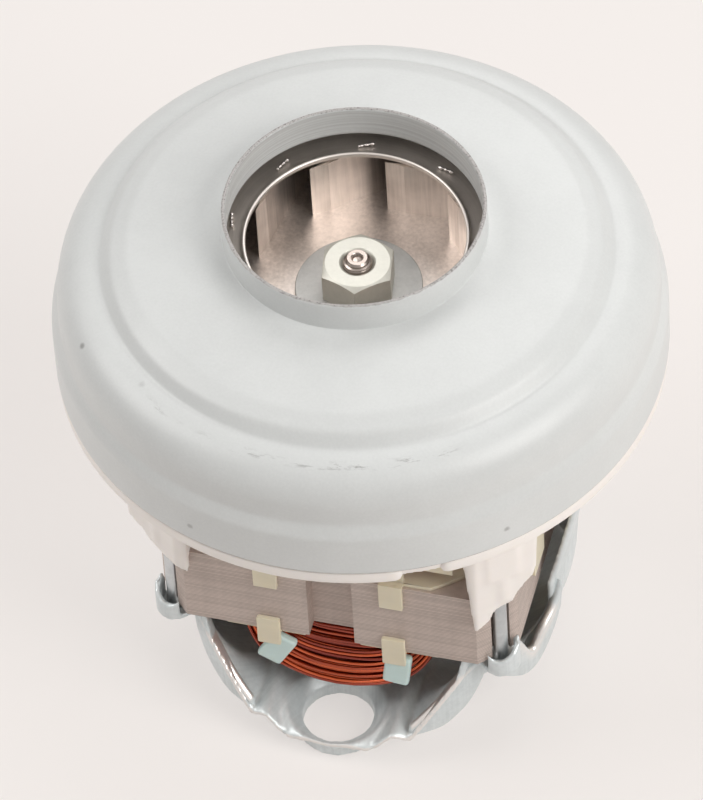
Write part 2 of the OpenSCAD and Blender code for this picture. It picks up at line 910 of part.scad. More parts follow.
module outer_race(z) {
    color([0.7, 0.71, 0.73])
        at(z) rotate_extrude() difference() {
            translate([outer_land, 0]) square([bearing_r - outer_land, bearing_w]);
            race_groove();
        }
}

module inner_race(z) {
    color([0.7, 0.71, 0.73])
        at(z) rotate_extrude() difference() {
            translate([journal_r + seat_gap, 0]) square([inner_land - journal_r - seat_gap, bearing_w]);
            race_groove();
        }
}

module ball_places(z) {
    for (i = [0 : ball_count - 1])
        rotate(i * 360 / ball_count) translate([ball_pitch, 0, z + bearing_w / 2]) children();
}

module balls(z) {
    color([0.78, 0.79, 0.8]) ball_places(z) sphere(r = ball_r);
}

module cage(z) {
    color([0.6, 0.5, 0.3])
        difference() {
            tube(ball_pitch + cage_half_t, ball_pitch - cage_half_t,
                z + bearing_w / 2 - cage_half_h, z + bearing_w / 2 + cage_half_h);
            ball_places(z) sphere(r = ball_r + seat_gap);
        }
}

module fan_bearing_outer_race() { outer_race(fan_bearing_z); }
module fan_bearing_inner_race() { inner_race(fan_bearing_z); }
module fan_bearing_balls() { balls(fan_bearing_z); }
module fan_bearing_cage() { cage(fan_bearing_z); }
module rear_bearing_outer_race() { outer_race(rear_bearing_z); }
module rear_bearing_inner_race() { inner_race(rear_bearing_z); }
module rear_bearing_balls() { balls(rear_bearing_z); }
module rear_bearing_cage() { cage(rear_bearing_z); }

module bearing_spring_washer() {
    color([0.65, 0.66, 0.68]) tube(bearing_r - 0.2, outer_land - 0.6, cup_floor, rear_bearing_z);
}

// Brush gear, drawn on the right and turned over for the left

module brush_block(grow, x0, x1) {
    translate([x0, -brush_w / 2 - grow, brush_z - brush_h / 2 - grow])
        cube([x1 - x0, brush_w + 2 * grow, brush_h + 2 * grow]);
}

module brush_holder() {
    shell = run_gap + tube_t + seat_gap;
    color([0.16, 0.16, 0.17])
        difference() {
            union() {
                translate([holder_start, -holder_half_w, holder_low])
                    cube([holder_end - holder_start, 2 * holder_half_w, brush_h + 2 * holder_wall]);
                translate([holder_start, -holder_half_w, floor_top])
                    cube([foot_l, 2 * holder_half_w, brush_z - floor_top]);
                translate([holder_start, -foot_half_w, floor_top]) cube([foot_l, 2 * foot_half_w, foot_h]);
            }
            brush_block(shell, 0, far);
            for (y = [-foot_screw_y, foot_screw_y])
                translate([foot_screw_x, y, 0]) cylinder(r = foot_screw_r + seat_gap, h = far);
        }
}

module brush_tube() {
    color([0.8, 0.66, 0.32])
        difference() {
            brush_block(run_gap + tube_t, tube_start, tube_end);
            brush_block(run_gap, 0, far);
        }
}

module brush_cap() {
    grow = run_gap + tube_t;
    color([0.8, 0.66, 0.32]) {
        brush_block(grow, tube_end, tube_end + 0.8);
        translate([tube_end, -2.4, brush_z + brush_h / 2]) cube([0.8, 4.8, 7.5]);
    }
}

module carbon_brush() {
    color([0.13, 0.13, 0.14])
        difference() {
            brush_block(0, brush_tip - 2, brush_tip + brush_l);
            at(-cut) cylinder(r = brush_tip, h = far);
        }
}

function spring_path() =
    let (x0 = brush_tip + brush_l + spring_wire_r + 0.05,
        x1 = tube_end - spring_wire_r - 0.05,
        steps = spring_turns * 8)
    [for (i = [0 : steps])
        [x0 + (x1 - x0) * i / steps, spring_r * cos(360 * i / 8), brush_z + spring_r * sin(360 * i / 8)]];

module brush_spring() {
    color([0.7, 0.71, 0.72]) sweep_wire(spring_path(), spring_wire_r, 4, [1, 0, 0]);
}

module brush_holder_right() { brush_holder(); }
module brush_holder_left() { rotate(180) brush_holder(); }
module brush_tube_right() { brush_tube(); }
module brush_tube_left() { rotate(180) brush_tube(); }
module brush_cap_right() { brush_cap(); }
module brush_cap_left() { rotate(180) brush_cap(); }
module carbon_brush_right() { carbon_brush(); }
module carbon_brush_left() { rotate(180) carbon_brush(); }
module brush_spring_right() { brush_spring(); }
module brush_spring_left() { rotate(180) brush_spring(); }

module brush_holder_screws() {
    color([0.72, 0.73, 0.74])
        for (x = [-foot_screw_x, foot_screw_x], y = [-foot_screw_y, foot_screw_y])
            translate([x, y, 0]) {
                at(floor_z - 2) cylinder(r = 2.8, h = 2);
                at(floor_z) cylinder(r = foot_screw_r, h = sheet_t + foot_h);
            }
}

// Rotor

module rotor_shaft() {
    color([0.7, 0.7, 0.71])
        difference() {
            union() {
                at(shaft_bottom) cylinder(r = journal_r, h = rear_bearing_z + bearing_w - shaft_bottom);
                at(rear_bearing_z + bearing_w)
                    cylinder(r = shaft_r, h = fan_bearing_z - rear_bearing_z - bearing_w);
                at(fan_bearing_z) cylinder(r = journal_r, h = bearing_w);
                at(fan_bearing_z + bearing_w)
                    cylinder(r = nose_r, h = shaft_top - fan_bearing_z - bearing_w);
            }
            at(shaft_top - 2.5) cylinder(r1 = 0.6, r2 = 1.5, h = 2.6);
        }
}

module armature_plan() {
    difference() {
        circle(r = armature_r);
        circle(r = shaft_r + seat_gap);
        for (i = [0 : armature_slots - 1])
            rotate(i * 360 / armature_slots) {
                translate([slot_at, 0]) circle(r = slot_r);
                translate([slot_at, -slot_mouth_w / 2]) square([far, slot_mouth_w]);
            }
    }
}

module armature_core() {
    color([0.5, 0.48, 0.47]) at(core_z) linear_extrude(core_h) armature_plan();
}

module winding_ring(z, h, up) {
    edge = min(winding_edge_r, h / 2);
    at(z) mirror([0, 0, up < 0 ? 1 : 0])
        rotate_extrude() {
            translate([winding_in_r, 0]) square([winding_r - edge - winding_in_r, h]);
            translate([winding_in_r, 0]) square([winding_r - winding_in_r, h - edge]);
            translate([winding_r - edge, h - edge]) circle(r = edge);
        }
}

module armature_winding() {
    color([0.66, 0.28, 0.14]) {
        winding_ring(core_z, core_z - winding_low, -1);
        winding_ring(core_top, winding_top_h, 1);
        for (i = [0 : armature_slots - 1])
            rotate(i * 360 / armature_slots)
                translate([slot_at, 0, core_z - cut / 2])
                    cylinder(r = slot_r - part_gap / 1.5, h = core_h + cut);
    }
}

module commutator_hub() {
    color([0.3, 0.16, 0.1])
        difference() {
            union() {
                at(commutator_z - 1) cylinder(r = commutator_r - bar_depth, h = commutator_h + 2);
                at(commutator_z - 1) cylinder(r = commutator_r - 0.8, h = 1);
            }
            cylinder(r = shaft_r + seat_gap, h = far);
        }
}

module commutator_bars() {
    bar_a = 360 / armature_slots;
    gap_a = 3;
    in_r = commutator_r - bar_depth + seat_gap;
    color([0.75, 0.42, 0.24])
        for (i = [0 : armature_slots - 1])
            rotate(i * bar_a)
                rotate_extrude(angle = bar_a - gap_a)
                    polygon([
                        [in_r, commutator_z], [commutator_r, commutator_z],
                        [commutator_r, commutator_top - 2], [commutator_r + 1.4, commutator_top - 2],
                        [commutator_r + 1.4, commutator_top], [in_r, commutator_top]
                    ]);
}

// Impeller

module shroud_profile() {
    polygon([
        [shroud_in_r, shroud_in_z - disc_t], [impeller_r, shroud_out_z - disc_t],
        [impeller_r, shroud_out_z], [shroud_in_r, shroud_in_z]
    ]);
    translate([eye_r, shroud_in_z - disc_t]) square([neck_w, disc_t]);
    translate([eye_r, shroud_in_z - disc_t]) square([disc_t * 0.7, eye_z - shroud_in_z + disc_t]);
}

module impeller_front_disc() {
    color([0.3, 0.29, 0.28]) rotate_extrude() shroud_profile();
}

module impeller_rear_disc() {
    color([0.6, 0.58, 0.56]) tube(impeller_r, nose_r + seat_gap, disc_z, blade_z);
}

module impeller_blades() {
    color([0.68, 0.66, 0.63])
        intersection() {
            at(blade_z)
                for (i = [0 : blade_count - 1])
                    rotate(blade_first_a + i * 360 / blade_count)
                        linear_extrude(eye_h)
                            swept_blade(blade_in_r, blade_out_r, blade_sweep_a, blade_bend_r, blade_t);
            rotate_extrude()
                polygon([
                    [0, blade_z], [impeller_r, blade_z],
                    [impeller_r, blade_top_z - shroud_in_z + shroud_out_z],
                    [shroud_in_r, blade_top_z], [0, blade_top_z]
                ]);
        }
}

module impeller_spacer() {
    color([0.7, 0.7, 0.71]) tube(inner_land + 0.4, nose_r + seat_gap, fan_bearing_z + bearing_w, disc_z);
}

module impeller_washer() {
    color([0.72, 0.72, 0.7]) tube(washer_r, nose_r + seat_gap, blade_z, nut_z);
}

module impeller_nut() {
    color([0.76, 0.74, 0.66])
        at(nut_z) difference() {
            intersection() {
                rotate(nut_turn_a) cylinder(d = nut_af / cos(30), h = nut_h, $fn = 6);
                rotate_extrude()
                    polygon([
                        [0, 0], [nut_af, 0], [nut_af, nut_h - 4], [nut_af / 2 - 0.4, nut_h], [0, nut_h]
                    ]);
            }
            at(-cut) cylinder(r = nose_r + seat_gap, h = nut_h + 2 * cut);
            at(nut_h - nut_sink) cylinder(r1 = nose_r, r2 = nose_r + 2 * nut_sink, h = 2 * nut_sink);
        }
}

fan_cover();
guide_vane_disc();
diffuser_frame();
stator_core();
insulator_top();
insulator_bottom();
coil_clips();
field_coil_front();
field_coil_rear();
motor_bracket();
frame_screws();
fan_bearing_outer_race();
rear_bearing_outer_race();
bearing_spring_washer();
brush_holder_left();
brush_holder_right();
brush_tube_left();
brush_tube_right();
brush_cap_left();
brush_cap_right();
brush_spring_left();
brush_spring_right();
brush_holder_screws();
carbon_brush_left();
carbon_brush_right();
rotor_shaft();
armature_core();
armature_winding();
commutator_hub();
commutator_bars();
impeller_front_disc();
impeller_rear_disc();
impeller_blades();
impeller_spacer();
impeller_washer();
impeller_nut();
fan_bearing_inner_race();
rear_bearing_inner_race();
fan_bearing_balls();
fan_bearing_cage();
rear_bearing_balls();
rear_bearing_cage();
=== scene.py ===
"""Looks of the vacuum motor unit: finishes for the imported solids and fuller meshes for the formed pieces.

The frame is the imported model's: metres, +Z up, the origin on the shaft axis and on the surface that the
unit stands on. The open window of the bracket faces -Y. Sizes of parts are in millimetres and angles in
degrees; sizes of finishes and of the studio are in metres.
"""

import logging
import math
from abc import ABC, abstractmethod
from dataclasses import dataclass
from enum import Enum
from typing import Callable, Dict, List, Mapping, Optional, Sequence, Tuple, Union

import bmesh
import bpy
import numpy as np
from bpy.types import Material, NodeSocket, Object
from mathutils import Matrix, Vector


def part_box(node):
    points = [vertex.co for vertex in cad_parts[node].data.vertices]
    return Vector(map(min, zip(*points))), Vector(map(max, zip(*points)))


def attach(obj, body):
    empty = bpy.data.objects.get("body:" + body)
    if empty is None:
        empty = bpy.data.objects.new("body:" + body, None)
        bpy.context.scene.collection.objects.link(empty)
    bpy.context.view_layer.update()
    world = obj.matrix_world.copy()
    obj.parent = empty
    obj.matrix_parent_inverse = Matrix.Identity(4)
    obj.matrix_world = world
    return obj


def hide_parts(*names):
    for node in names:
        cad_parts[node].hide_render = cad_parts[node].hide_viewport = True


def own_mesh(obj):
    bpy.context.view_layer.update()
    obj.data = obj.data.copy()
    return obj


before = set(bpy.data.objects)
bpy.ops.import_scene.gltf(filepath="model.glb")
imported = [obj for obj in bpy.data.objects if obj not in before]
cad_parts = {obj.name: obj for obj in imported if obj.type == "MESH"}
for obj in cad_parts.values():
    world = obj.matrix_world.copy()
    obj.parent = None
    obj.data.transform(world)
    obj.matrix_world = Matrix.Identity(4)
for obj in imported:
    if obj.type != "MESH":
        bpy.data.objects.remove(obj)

log = logging.getLogger("motor_unit")

MM = 0.001
WELD_GAP = 0.002 * MM
FULL_TURN = 2 * np.pi
# Random phases of waves run from 0 to this, in radians
ANY_PHASE = 6.3
Pair = Tuple[float, float]
Triple = Tuple[float, float, float]
Colour = Triple
Value = Union[float, "Wire"]
Shade = Union[Colour, "Wire"]


def math_method(operation: str, reflected: bool = False) -> Callable[..., "Wire"]:
    """Makes a method of Wire that adds one Math node.

    Args:
        operation: the Math node's operation.
        reflected: whether the other value comes first, as in 1 - mask.

    Returns:
        The method, which takes the other value where the operation needs one.
    """
    def method(self: "Wire", *other: Value) -> "Wire":
        """Adds the node and returns the wire of its result."""
        values = (*other, self) if reflected else (self, *other)
        return self.tree.node("ShaderNodeMath", {"operation": operation}, dict(enumerate(values)))
    return method


class Wire:
    """One output socket of a node tree; arithmetic on wires adds Math nodes."""

    def __init__(self, tree: "Tree", socket: NodeSocket) -> None:
        """Keeps the tree and the socket."""
        self.tree = tree
        self.socket = socket

    __add__ = math_method("ADD")
    __radd__ = math_method("ADD", True)
    __sub__ = math_method("SUBTRACT")
    __rsub__ = math_method("SUBTRACT", True)
    __mul__ = math_method("MULTIPLY")
    __rmul__ = math_method("MULTIPLY", True)
    __truediv__ = math_method("DIVIDE")
    __pow__ = math_method("POWER")
    __abs__ = math_method("ABSOLUTE")
    sine = math_method("SINE")
    floor = math_method("FLOOR")
    at_most = math_method("MINIMUM")
    at_least = math_method("MAXIMUM")
    angle_from = math_method("ARCTAN2")

    def ramp(self, low: float, high: float) -> "Wire":
        """A smooth step from 0 where this is low to 1 where it is high; high may be the smaller."""
        return self.tree.node("ShaderNodeMapRange", {"interpolation_type": "SMOOTHSTEP"},
                              {"Value": self, "From Min": low, "From Max": high})

    def near(self, centre: float, width: float) -> "Wire":
        """A soft bump of 1 where this is centre that fades to 0 at width from it."""
        return abs(self - centre).ramp(width, 0.0)

    def tint(self, low: Shade, high: Shade) -> "Wire":
        """Mixes two colours by this factor: low at 0 and high at 1."""
        ends = [shade if isinstance(shade, Wire) else (*shade, 1.0) for shade in (low, high)]
        return self.tree.node("ShaderNodeMix", {"data_type": "RGBA"}, {0: self, 6: ends[0], 7: ends[1]}, 2)


class Tree:
    """The node tree of a material or a world, with the usual fields of a piece's coordinates at hand."""

    def __init__(self, name: str, kind: str = "materials") -> None:
        """Makes an empty tree.

        Args:
            name: of the material or world.
            kind: the collection in Blender's data that it joins.
        """
        self.owner = getattr(bpy.data, kind).new(name)
        self.owner.use_nodes = True
        self.nodes = self.owner.node_tree.nodes
        self.links = self.owner.node_tree.links
        self.nodes.clear()
        self.fields: Dict[str, Wire] = {}

    def node(self, kind: str, settings: Optional[Mapping[str, object]] = None,
             inputs: Optional[Mapping[Union[str, int], object]] = None,
             output: Union[str, int] = 0) -> Wire:
        """Adds one node.

        Args:
            kind: the node's type.
            settings: its properties, set first.
            inputs: values or wires of its sockets, by name or number.
            output: the socket that is returned.

        Returns:
            The wire of that output.
        """
        made = self.nodes.new(kind)
        for key, value in (settings or {}).items():
            setattr(made, key, value)
        for key, value in (inputs or {}).items():
            if isinstance(value, Wire):
                self.links.new(value.socket, made.inputs[key])
            else:
                made.inputs[key].default_value = value
        return Wire(self, made.outputs[output])

    def kept(self, key: str, make: Callable[[], Wire]) -> Wire:
        """A wire that is made on its first use and then kept by its key."""
        if key not in self.fields:
            self.fields[key] = make()
        return self.fields[key]

    @property
    def place(self) -> Wire:
        """Object coordinates."""
        return self.kept("place", lambda: self.node("ShaderNodeTexCoord", output="Object"))

    def split(self, vector: Wire, axis: str) -> Wire:
        """One part of a vector, X, Y or Z."""
        return self.node("ShaderNodeSeparateXYZ", inputs={0: vector}, output=axis)

    def axis(self, name: str) -> Wire:
        """One object coordinate, X, Y or Z."""
        return self.kept(name, lambda: self.split(self.place, name))

    @property
    def radius(self) -> Wire:
        """Distance from the shaft axis."""
        x, y = self.axis("X"), self.axis("Y")
        return self.kept("radius", lambda: (x * x + y * y) ** 0.5)

    @property
    def angle(self) -> Wire:
        """Angle about the shaft axis, in radians from +X."""
        return self.kept("angle", lambda: self.axis("Y").angle_from(self.axis("X")))

    @property
    def seen(self) -> Wire:
        """1 on rays of the camera and of reflections, else 0."""
        rays = [self.node("ShaderNodeLightPath", output=f"Is {kind} Ray") for kind in ("Camera", "Glossy")]
        return rays[0].at_least(rays[1])

    def facing(self, axis: str) -> Wire:
        """The surface normal's part along an axis."""
        return self.split(self.node("ShaderNodeNewGeometry", output="Normal"), axis)

    def attribute(self, name: str) -> Wire:
        """A number that the mesh carries at its points."""
        return self.node("ShaderNodeAttribute", {"attribute_name": name}, output="Fac")

    def stretched(self, scale: Sequence[float]) -> Wire:
        """Object coordinates times a scale for each axis."""
        return self.node("ShaderNodeMapping", {"vector_type": "POINT"},
                         {"Vector": self.place, "Scale": scale})

    def polar(self, around: float, along: float, out: float) -> Wire:
        """Coordinates about the shaft axis: angle, height and radius times their scales."""
        parts = (self.angle * around, self.axis("Z") * along, self.radius * out)
        return self.node("ShaderNodeCombineXYZ", inputs=dict(enumerate(parts)))

    def noise(self, scale: float, detail: float = 3.0, rough: float = 0.55,
              where: Optional[Wire] = None) -> Wire:
        """Smooth noise about 0.5.

        Args:
            scale: waves in a metre, or in a unit of where.
            detail: how many finer waves are added.
            rough: the strength of the finer waves.
            where: the coordinates, else the object's.

        Returns:
            The wire of the noise.
        """
        return self.node("ShaderNodeTexNoise", None, {"Vector": where or self.place, "Scale": scale,
                                                      "Detail": detail, "Roughness": rough})

    def spots(self, scale: float, size: float) -> Wire:
        """Round spots that are 1 at their centres, a share of the cells wide."""
        cells = self.node("ShaderNodeTexVoronoi", {"feature": "F1"}, {"Vector": self.place, "Scale": scale})
        return cells.ramp(size, 0.0)

    def bump(self, height: Wire, depth: float) -> Wire:
        """The normal of a relief: depth is the height in metres of a rise from 0 to 1."""
        return self.node("ShaderNodeBump", None, {"Height": height, "Distance": depth, "Strength": 1.0})

    def finish(self, **sockets: object) -> Material:
        """Adds the Principled shader and the output.

        Args:
            sockets: shader sockets by name with _ for a space; wires, numbers or colours.

        Returns:
            The finished material.
        """
        inputs = {key.replace("_", " "): value for key, value in sockets.items()}
        return self.end(self.node("ShaderNodeBsdfPrincipled", None, inputs))

    def end(self, shader: Wire, kind: str = "Material") -> Union[Material, bpy.types.World]:
        """Links a shader to a new output node.

        Args:
            shader: the wire of the shader.
            kind: of the output, Material or World.

        Returns:
            The material or world.
        """
        last = self.nodes.new(f"ShaderNodeOutput{kind}")
        self.links.new(shader.socket, last.inputs["Surface"])
        return self.owner


def scaled(values: Sequence[float], factor: float) -> Tuple[float, ...]:
    """A colour, place or size times a factor."""
    return tuple(factor * value for value in values)


@dataclass(frozen=True)
class CoverPaint:
    """Satin paint on deep drawn sheet: orange peel, scuffed bends, an unpainted cut lip, specks of dirt and
    painted shade.
    """

    name: str = "cover_paint"
    coat: Colour = (0.70, 0.715, 0.71)
    grime: Colour = (0.16, 0.15, 0.145)
    # Painted shade of the collar's inner wall, laid on in bands along the draw rings
    inner_wall_shade: Colour = (0.34, 0.33, 0.32)
    lip_dark: Colour = (0.14, 0.125, 0.12)
    lip_pale: Colour = (0.47, 0.45, 0.44)
    rim_z: float = 99.2 * MM
    # Painted shade of the gap under the rim, together with the dark of its cut edge
    rim_gap_shade: Colour = (0.26, 0.225, 0.205)
    collar_r: float = 30.7 * MM
    lip_z: float = 145.0 * MM
    plate_z: float = 137.0 * MM
    crest_r: float = 63.9 * MM
    crest_z: float = 128.3 * MM
    # Places in millimetres and strengths
    smudges: Tuple[Tuple[float, float, float, float], ...] = (
        (-55.6, -38.6, 125.7, 0.6), (-23.2, -68.2, 104.1, 0.4), (48.0, -53.7, 104.3, 0.5),
        (-38.2, -49.2, 128.8, 0.2))

    def make(self) -> Material:
        """Builds the paint's nodes.

        Returns:
            The material.
        """
        t = Tree(self.name)
        z, r = t.axis("Z"), t.radius
        cloud = t.noise(22.0)
        mottle = cloud * 0.5 + t.noise(160.0, 4.0) * 0.2 + t.noise(1500.0, 2.0) * 0.3
        coat = mottle.ramp(0.34, 0.66).tint(scaled(self.coat, 0.95), scaled(self.coat, 1.02))
        # Scuffs: streaks that run round the unit, only along the front of the shoulder's crest
        streak = t.noise(1.0, 5.0, 0.7, t.polar(9.0, 700.0, 700.0)).ramp(0.52, 0.62)
        broken = t.noise(1.0, 3.0, 0.6, t.polar(2.6, 12.0, 12.0)).ramp(0.48, 0.62)
        crest = r.near(self.crest_r, 1.5 * MM) * z.near(self.crest_z, 1.5 * MM)
        scuff = streak * broken * crest * t.axis("Y").ramp(-30.0 * MM, -46.0 * MM)
        # The cut lip of the collar shows unpainted metal, with pale and dark bits along it
        ragged = t.noise(600.0, 3.0, 0.7) - 0.5
        lip = (z + ragged * 0.5 * MM).ramp(self.lip_z - 0.35 * MM, self.lip_z - 0.1 * MM)
        lip = lip * r.ramp(33.0 * MM, 31.5 * MM)
        bits = t.noise(1.0, 4.0, 0.75, t.polar(70.0, 1600.0, 1600.0)).ramp(0.48, 0.66)
        # The inner wall of the collar is darkened in bands along its draw rings: painted shade of the recess,
        # broken up by the rings
        inside = r.ramp(self.collar_r - 0.3 * MM, self.collar_r - 0.7 * MM)
        inside = inside * z.ramp(self.plate_z - 2 * MM, self.plate_z)
        rings = t.noise(1.0, 3.0, 0.65, t.polar(0.35, 1500.0, 300.0))
        inner_rings_and_shade = inside * rings.ramp(0.35, 0.75)
        smudge = t.spots(60.0, 0.022) * t.noise(15.0, 1.0).ramp(0.5, 0.62) * 0.5
        for *where, strength in self.smudges:
            away = t.node("ShaderNodeVectorMath", {"operation": "DISTANCE"},
                          {0: t.place, 1: scaled(where, MM)}, "Value")
            smudge = smudge + (away + ragged * 0.8 * MM).ramp(1.1 * MM, 0.2 * MM) * strength
        dirt = (scuff * 0.6 + smudge).at_most(0.85)
        colour = dirt.tint((inner_rings_and_shade * 0.5).tint(coat, self.inner_wall_shade), self.grime)
        colour = lip.tint(colour, bits.tint(self.lip_pale, self.lip_dark))
        # A dark line on the rim's cut edge, just above the white flange: painted shade of the gap over the
        # flange, together with the dark of the cut edge itself
        rim = (z + ragged * 0.5 * MM).ramp(self.rim_z + 0.55 * MM, self.rim_z + 0.25 * MM)
        colour = (rim * 0.8).tint(colour, self.rim_gap_shade)
        peel = t.noise(900.0, 2.0) * 0.35 + t.noise(2600.0, 1.0) * 0.2
        relief = t.bump(peel + rings * inside * 2.0, 0.02 * MM)
        rough = 0.33 + cloud * 0.10 + dirt * 0.2 - inner_rings_and_shade * 0.08
        return t.finish(Base_Color=colour, Roughness=rough, Specular_IOR_Level=0.5, Normal=relief)


@dataclass(frozen=True)
class Moulding:
    """A moulded plastic: soft clouds of colour, a matt skin and faint flow lines."""

    name: str
    colour: Colour
    shade: float = 0.93
    rough: float = 0.5
    grain: float = 1500.0
    depth: float = 0.02 * MM
    translucent: float = 0.0
    stain: Colour = (0.45, 0.36, 0.27)
    stained: float = 0.0

    def make(self) -> Material:
        """Builds the plastic's nodes.

        Returns:
            The material.
        """
        t = Tree(self.name)
        cloud = t.noise(45.0, 4.0)
        flow = t.noise(1.0, 3.0, 0.6, t.stretched((60.0, 60.0, 300.0)))
        tone = (cloud * 0.65 + flow * 0.35).ramp(0.3, 0.7)
        spots = t.noise(230.0, 4.0, 0.65).ramp(0.62, 0.78) * self.stained
        colour = spots.tint(tone.tint(scaled(self.colour, self.shade), self.colour), self.stain)
        skin = t.noise(self.grain, 2.0)
        rough = (self.rough - 0.06) + skin * 0.12
        return t.finish(Base_Color=colour, Roughness=rough, Subsurface_Weight=self.translucent,
                        Subsurface_Radius=(2.0 * MM, 1.6 * MM, 1.0 * MM), Subsurface_Scale=1.0,
                        Specular_IOR_Level=0.45, Normal=t.bump(skin, self.depth))


@dataclass(frozen=True)
class Laminations:
    """Punched steel sheets seen on edge: a line for each sheet, each its own shade, with smears."""

    name: str = "lamination"
    sheet: Colour = (0.53, 0.445, 0.40)
    pale: Colour = (0.69, 0.585, 0.53)
    gap: Colour = (0.29, 0.235, 0.205)
    pitch: float = 0.5 * MM

    def make(self) -> Material:
        """Builds the stack's nodes.

        Returns:
            The material.
        """
        t = Tree(self.name)
        level = t.axis("Z") / self.pitch
        wave = (level * FULL_TURN).sine() * 0.5 + 0.5
        own = t.node("ShaderNodeTexWhiteNoise", {"noise_dimensions": "1D"}, {"W": level.floor()}, "Value")
        smear = t.noise(1.0, 4.0, 0.6, t.stretched((420.0, 420.0, 55.0)))
        edge_break = t.noise(1.0, 2.0, 0.5, t.stretched((900.0, 900.0, 2000.0)))
        side = 1.0 - abs(t.facing("Z")).ramp(0.4, 0.8)
        tone = (own * 0.35 + smear * 0.55 + edge_break * 0.25).ramp(0.3, 0.85)
        groove = (1.0 - wave).ramp(0.45, 1.0) * side
        colour = (groove * 0.75).tint(tone.tint(self.sheet, self.pale), self.gap)
        relief = t.bump(wave * side + edge_break * 0.3 + own * 0.3, 0.09 * MM)
        return t.finish(Base_Color=colour, Metallic=0.4, Roughness=0.42 + smear * 0.2, Normal=relief)


@dataclass(frozen=True)
class Enamel:
    """Enamelled copper wire: a clear red brown skin over bright metal, each turn its own shade."""

    name: str = "copper_wire"
    bright: Colour = (0.66, 0.115, 0.026)
    deep: Colour = (0.24, 0.022, 0.007)

    def make(self) -> Material:
        """Builds the wire's nodes.

        Returns:
            The material.
        """
        t = Tree(self.name)
        drift = t.noise(120.0)
        tone = (t.attribute("turn") * 0.6 + drift * 0.5).ramp(0.2, 0.95)
        return t.finish(Base_Color=tone.tint(self.deep, self.bright), Metallic=0.85, Coat_Weight=0.8,
                        Roughness=0.15 + drift * 0.12, Coat_Roughness=0.08,
                        Normal=t.bump(t.noise(800.0, 2.0), 0.02 * MM))


class Wear(Enum):
    """How a metal's surface was left."""

    PLATED = "plated"
    TURNED = "turned"
    ROLLED = "rolled"


@dataclass(frozen=True)
class Metal:
    """A metal finish: plated with clouds, turned with rings about the shaft, or rolled with streaks."""

    name: str
    colour: Colour
    shade: Colour
    wear: Wear = Wear.PLATED
    rough: float = 0.35
    spread: float = 0.14
    depth: float = 0.015 * MM
    metallic: float = 1.0
    scale: float = 1.0

    def field(self, t: Tree) -> Wire:
        """The fine pattern of the finish, about 0 to 1.

        Args:
            t: the tree that its nodes join.

        Returns:
            The wire of the pattern.
        """
        if self.wear is Wear.TURNED:
            return t.noise(1.0, 3.0, 0.6, t.polar(0.8, 2600.0 * self.scale, 2600.0 * self.scale))
        if self.wear is Wear.ROLLED:
            return t.noise(1.0, 4.0, 0.6, t.stretched(scaled((1100.0, 1100.0, 45.0), self.scale)))
        return t.noise(420.0 * self.scale, 4.0, 0.62)

    def make(self) -> Material:
        """Builds the metal's nodes.

        Returns:
            The material.
        """
        t = Tree(self.name)
        cloud = t.noise(70.0 * self.scale, 4.0)
        pattern = self.field(t)
        colour = (cloud * 0.6 + pattern * 0.4).ramp(0.28, 0.72).tint(self.shade, self.colour)
        rough = (self.rough - self.spread / 2) + (pattern * 0.6 + cloud * 0.4) * self.spread
        return t.finish(Base_Color=colour, Metallic=self.metallic, Roughness=rough,
                        Normal=t.bump(pattern, self.depth))


@dataclass(frozen=True)
class PressedZinc:
    """Zinc plated sheet: a blue grey bloom, draw marks down the walls, paler cut edges and hems with a
    painted highlight.
    """

    name: str = "pressed_zinc"
    colour: Colour = (0.77, 0.815, 0.825)
    bloom: Colour = (0.60, 0.645, 0.655)
    # Bare cut metal, lightened further as a painted highlight; also used on the up-facing hems
    bare_edge_and_highlight: Colour = (0.84, 0.80, 0.77)
    lip_r: float = 50.7 * MM
    lip_top: float = 28.5 * MM
    hem_r: float = 47.6 * MM
    hem_z: float = 10.5 * MM

    def make(self) -> Material:
        """Builds the sheet's nodes.

        Returns:
            The material.
        """
        t = Tree(self.name)
        z, r = t.axis("Z"), t.radius
        cloud = t.noise(60.0, 4.0)
        grain = t.noise(700.0, 4.0, 0.62)
        draw = t.noise(1.0, 3.0, 0.6, t.polar(50.0, 25.0, 25.0))
        colour = (cloud * 0.5 + grain * 0.25 + draw * 0.25).ramp(0.34, 0.66).tint(self.bloom, self.colour)
        # Cut edges at the outer radius take the paler colour: the bare cut metal, lightened as a painted
        # highlight
        edge = r.ramp(self.lip_r - 0.5 * MM, self.lip_r - 0.15 * MM)
        # Up-facing hems at the rim: a painted highlight, lighter and more metallic where they face the light
        hem = t.facing("Z").ramp(0.2, 0.55) * r.ramp(self.hem_r, self.hem_r + 0.3 * MM)
        hem = hem * z.ramp(self.hem_z, self.hem_z + 1.5 * MM)
        edge = edge.at_least(hem) * z.ramp(self.lip_top, self.lip_top - 2.0 * MM)
        colour = (edge * grain.ramp(0.1, 0.5)).tint(colour, self.bare_edge_and_highlight)
        rough = 0.32 + cloud * 0.18 - edge * 0.08
        return t.finish(Base_Color=colour, Metallic=0.3 + hem * 0.4, Roughness=rough,
                        Normal=t.bump(grain + cloud, 0.02 * MM))


PLATED, TURNED, ROLLED = Wear
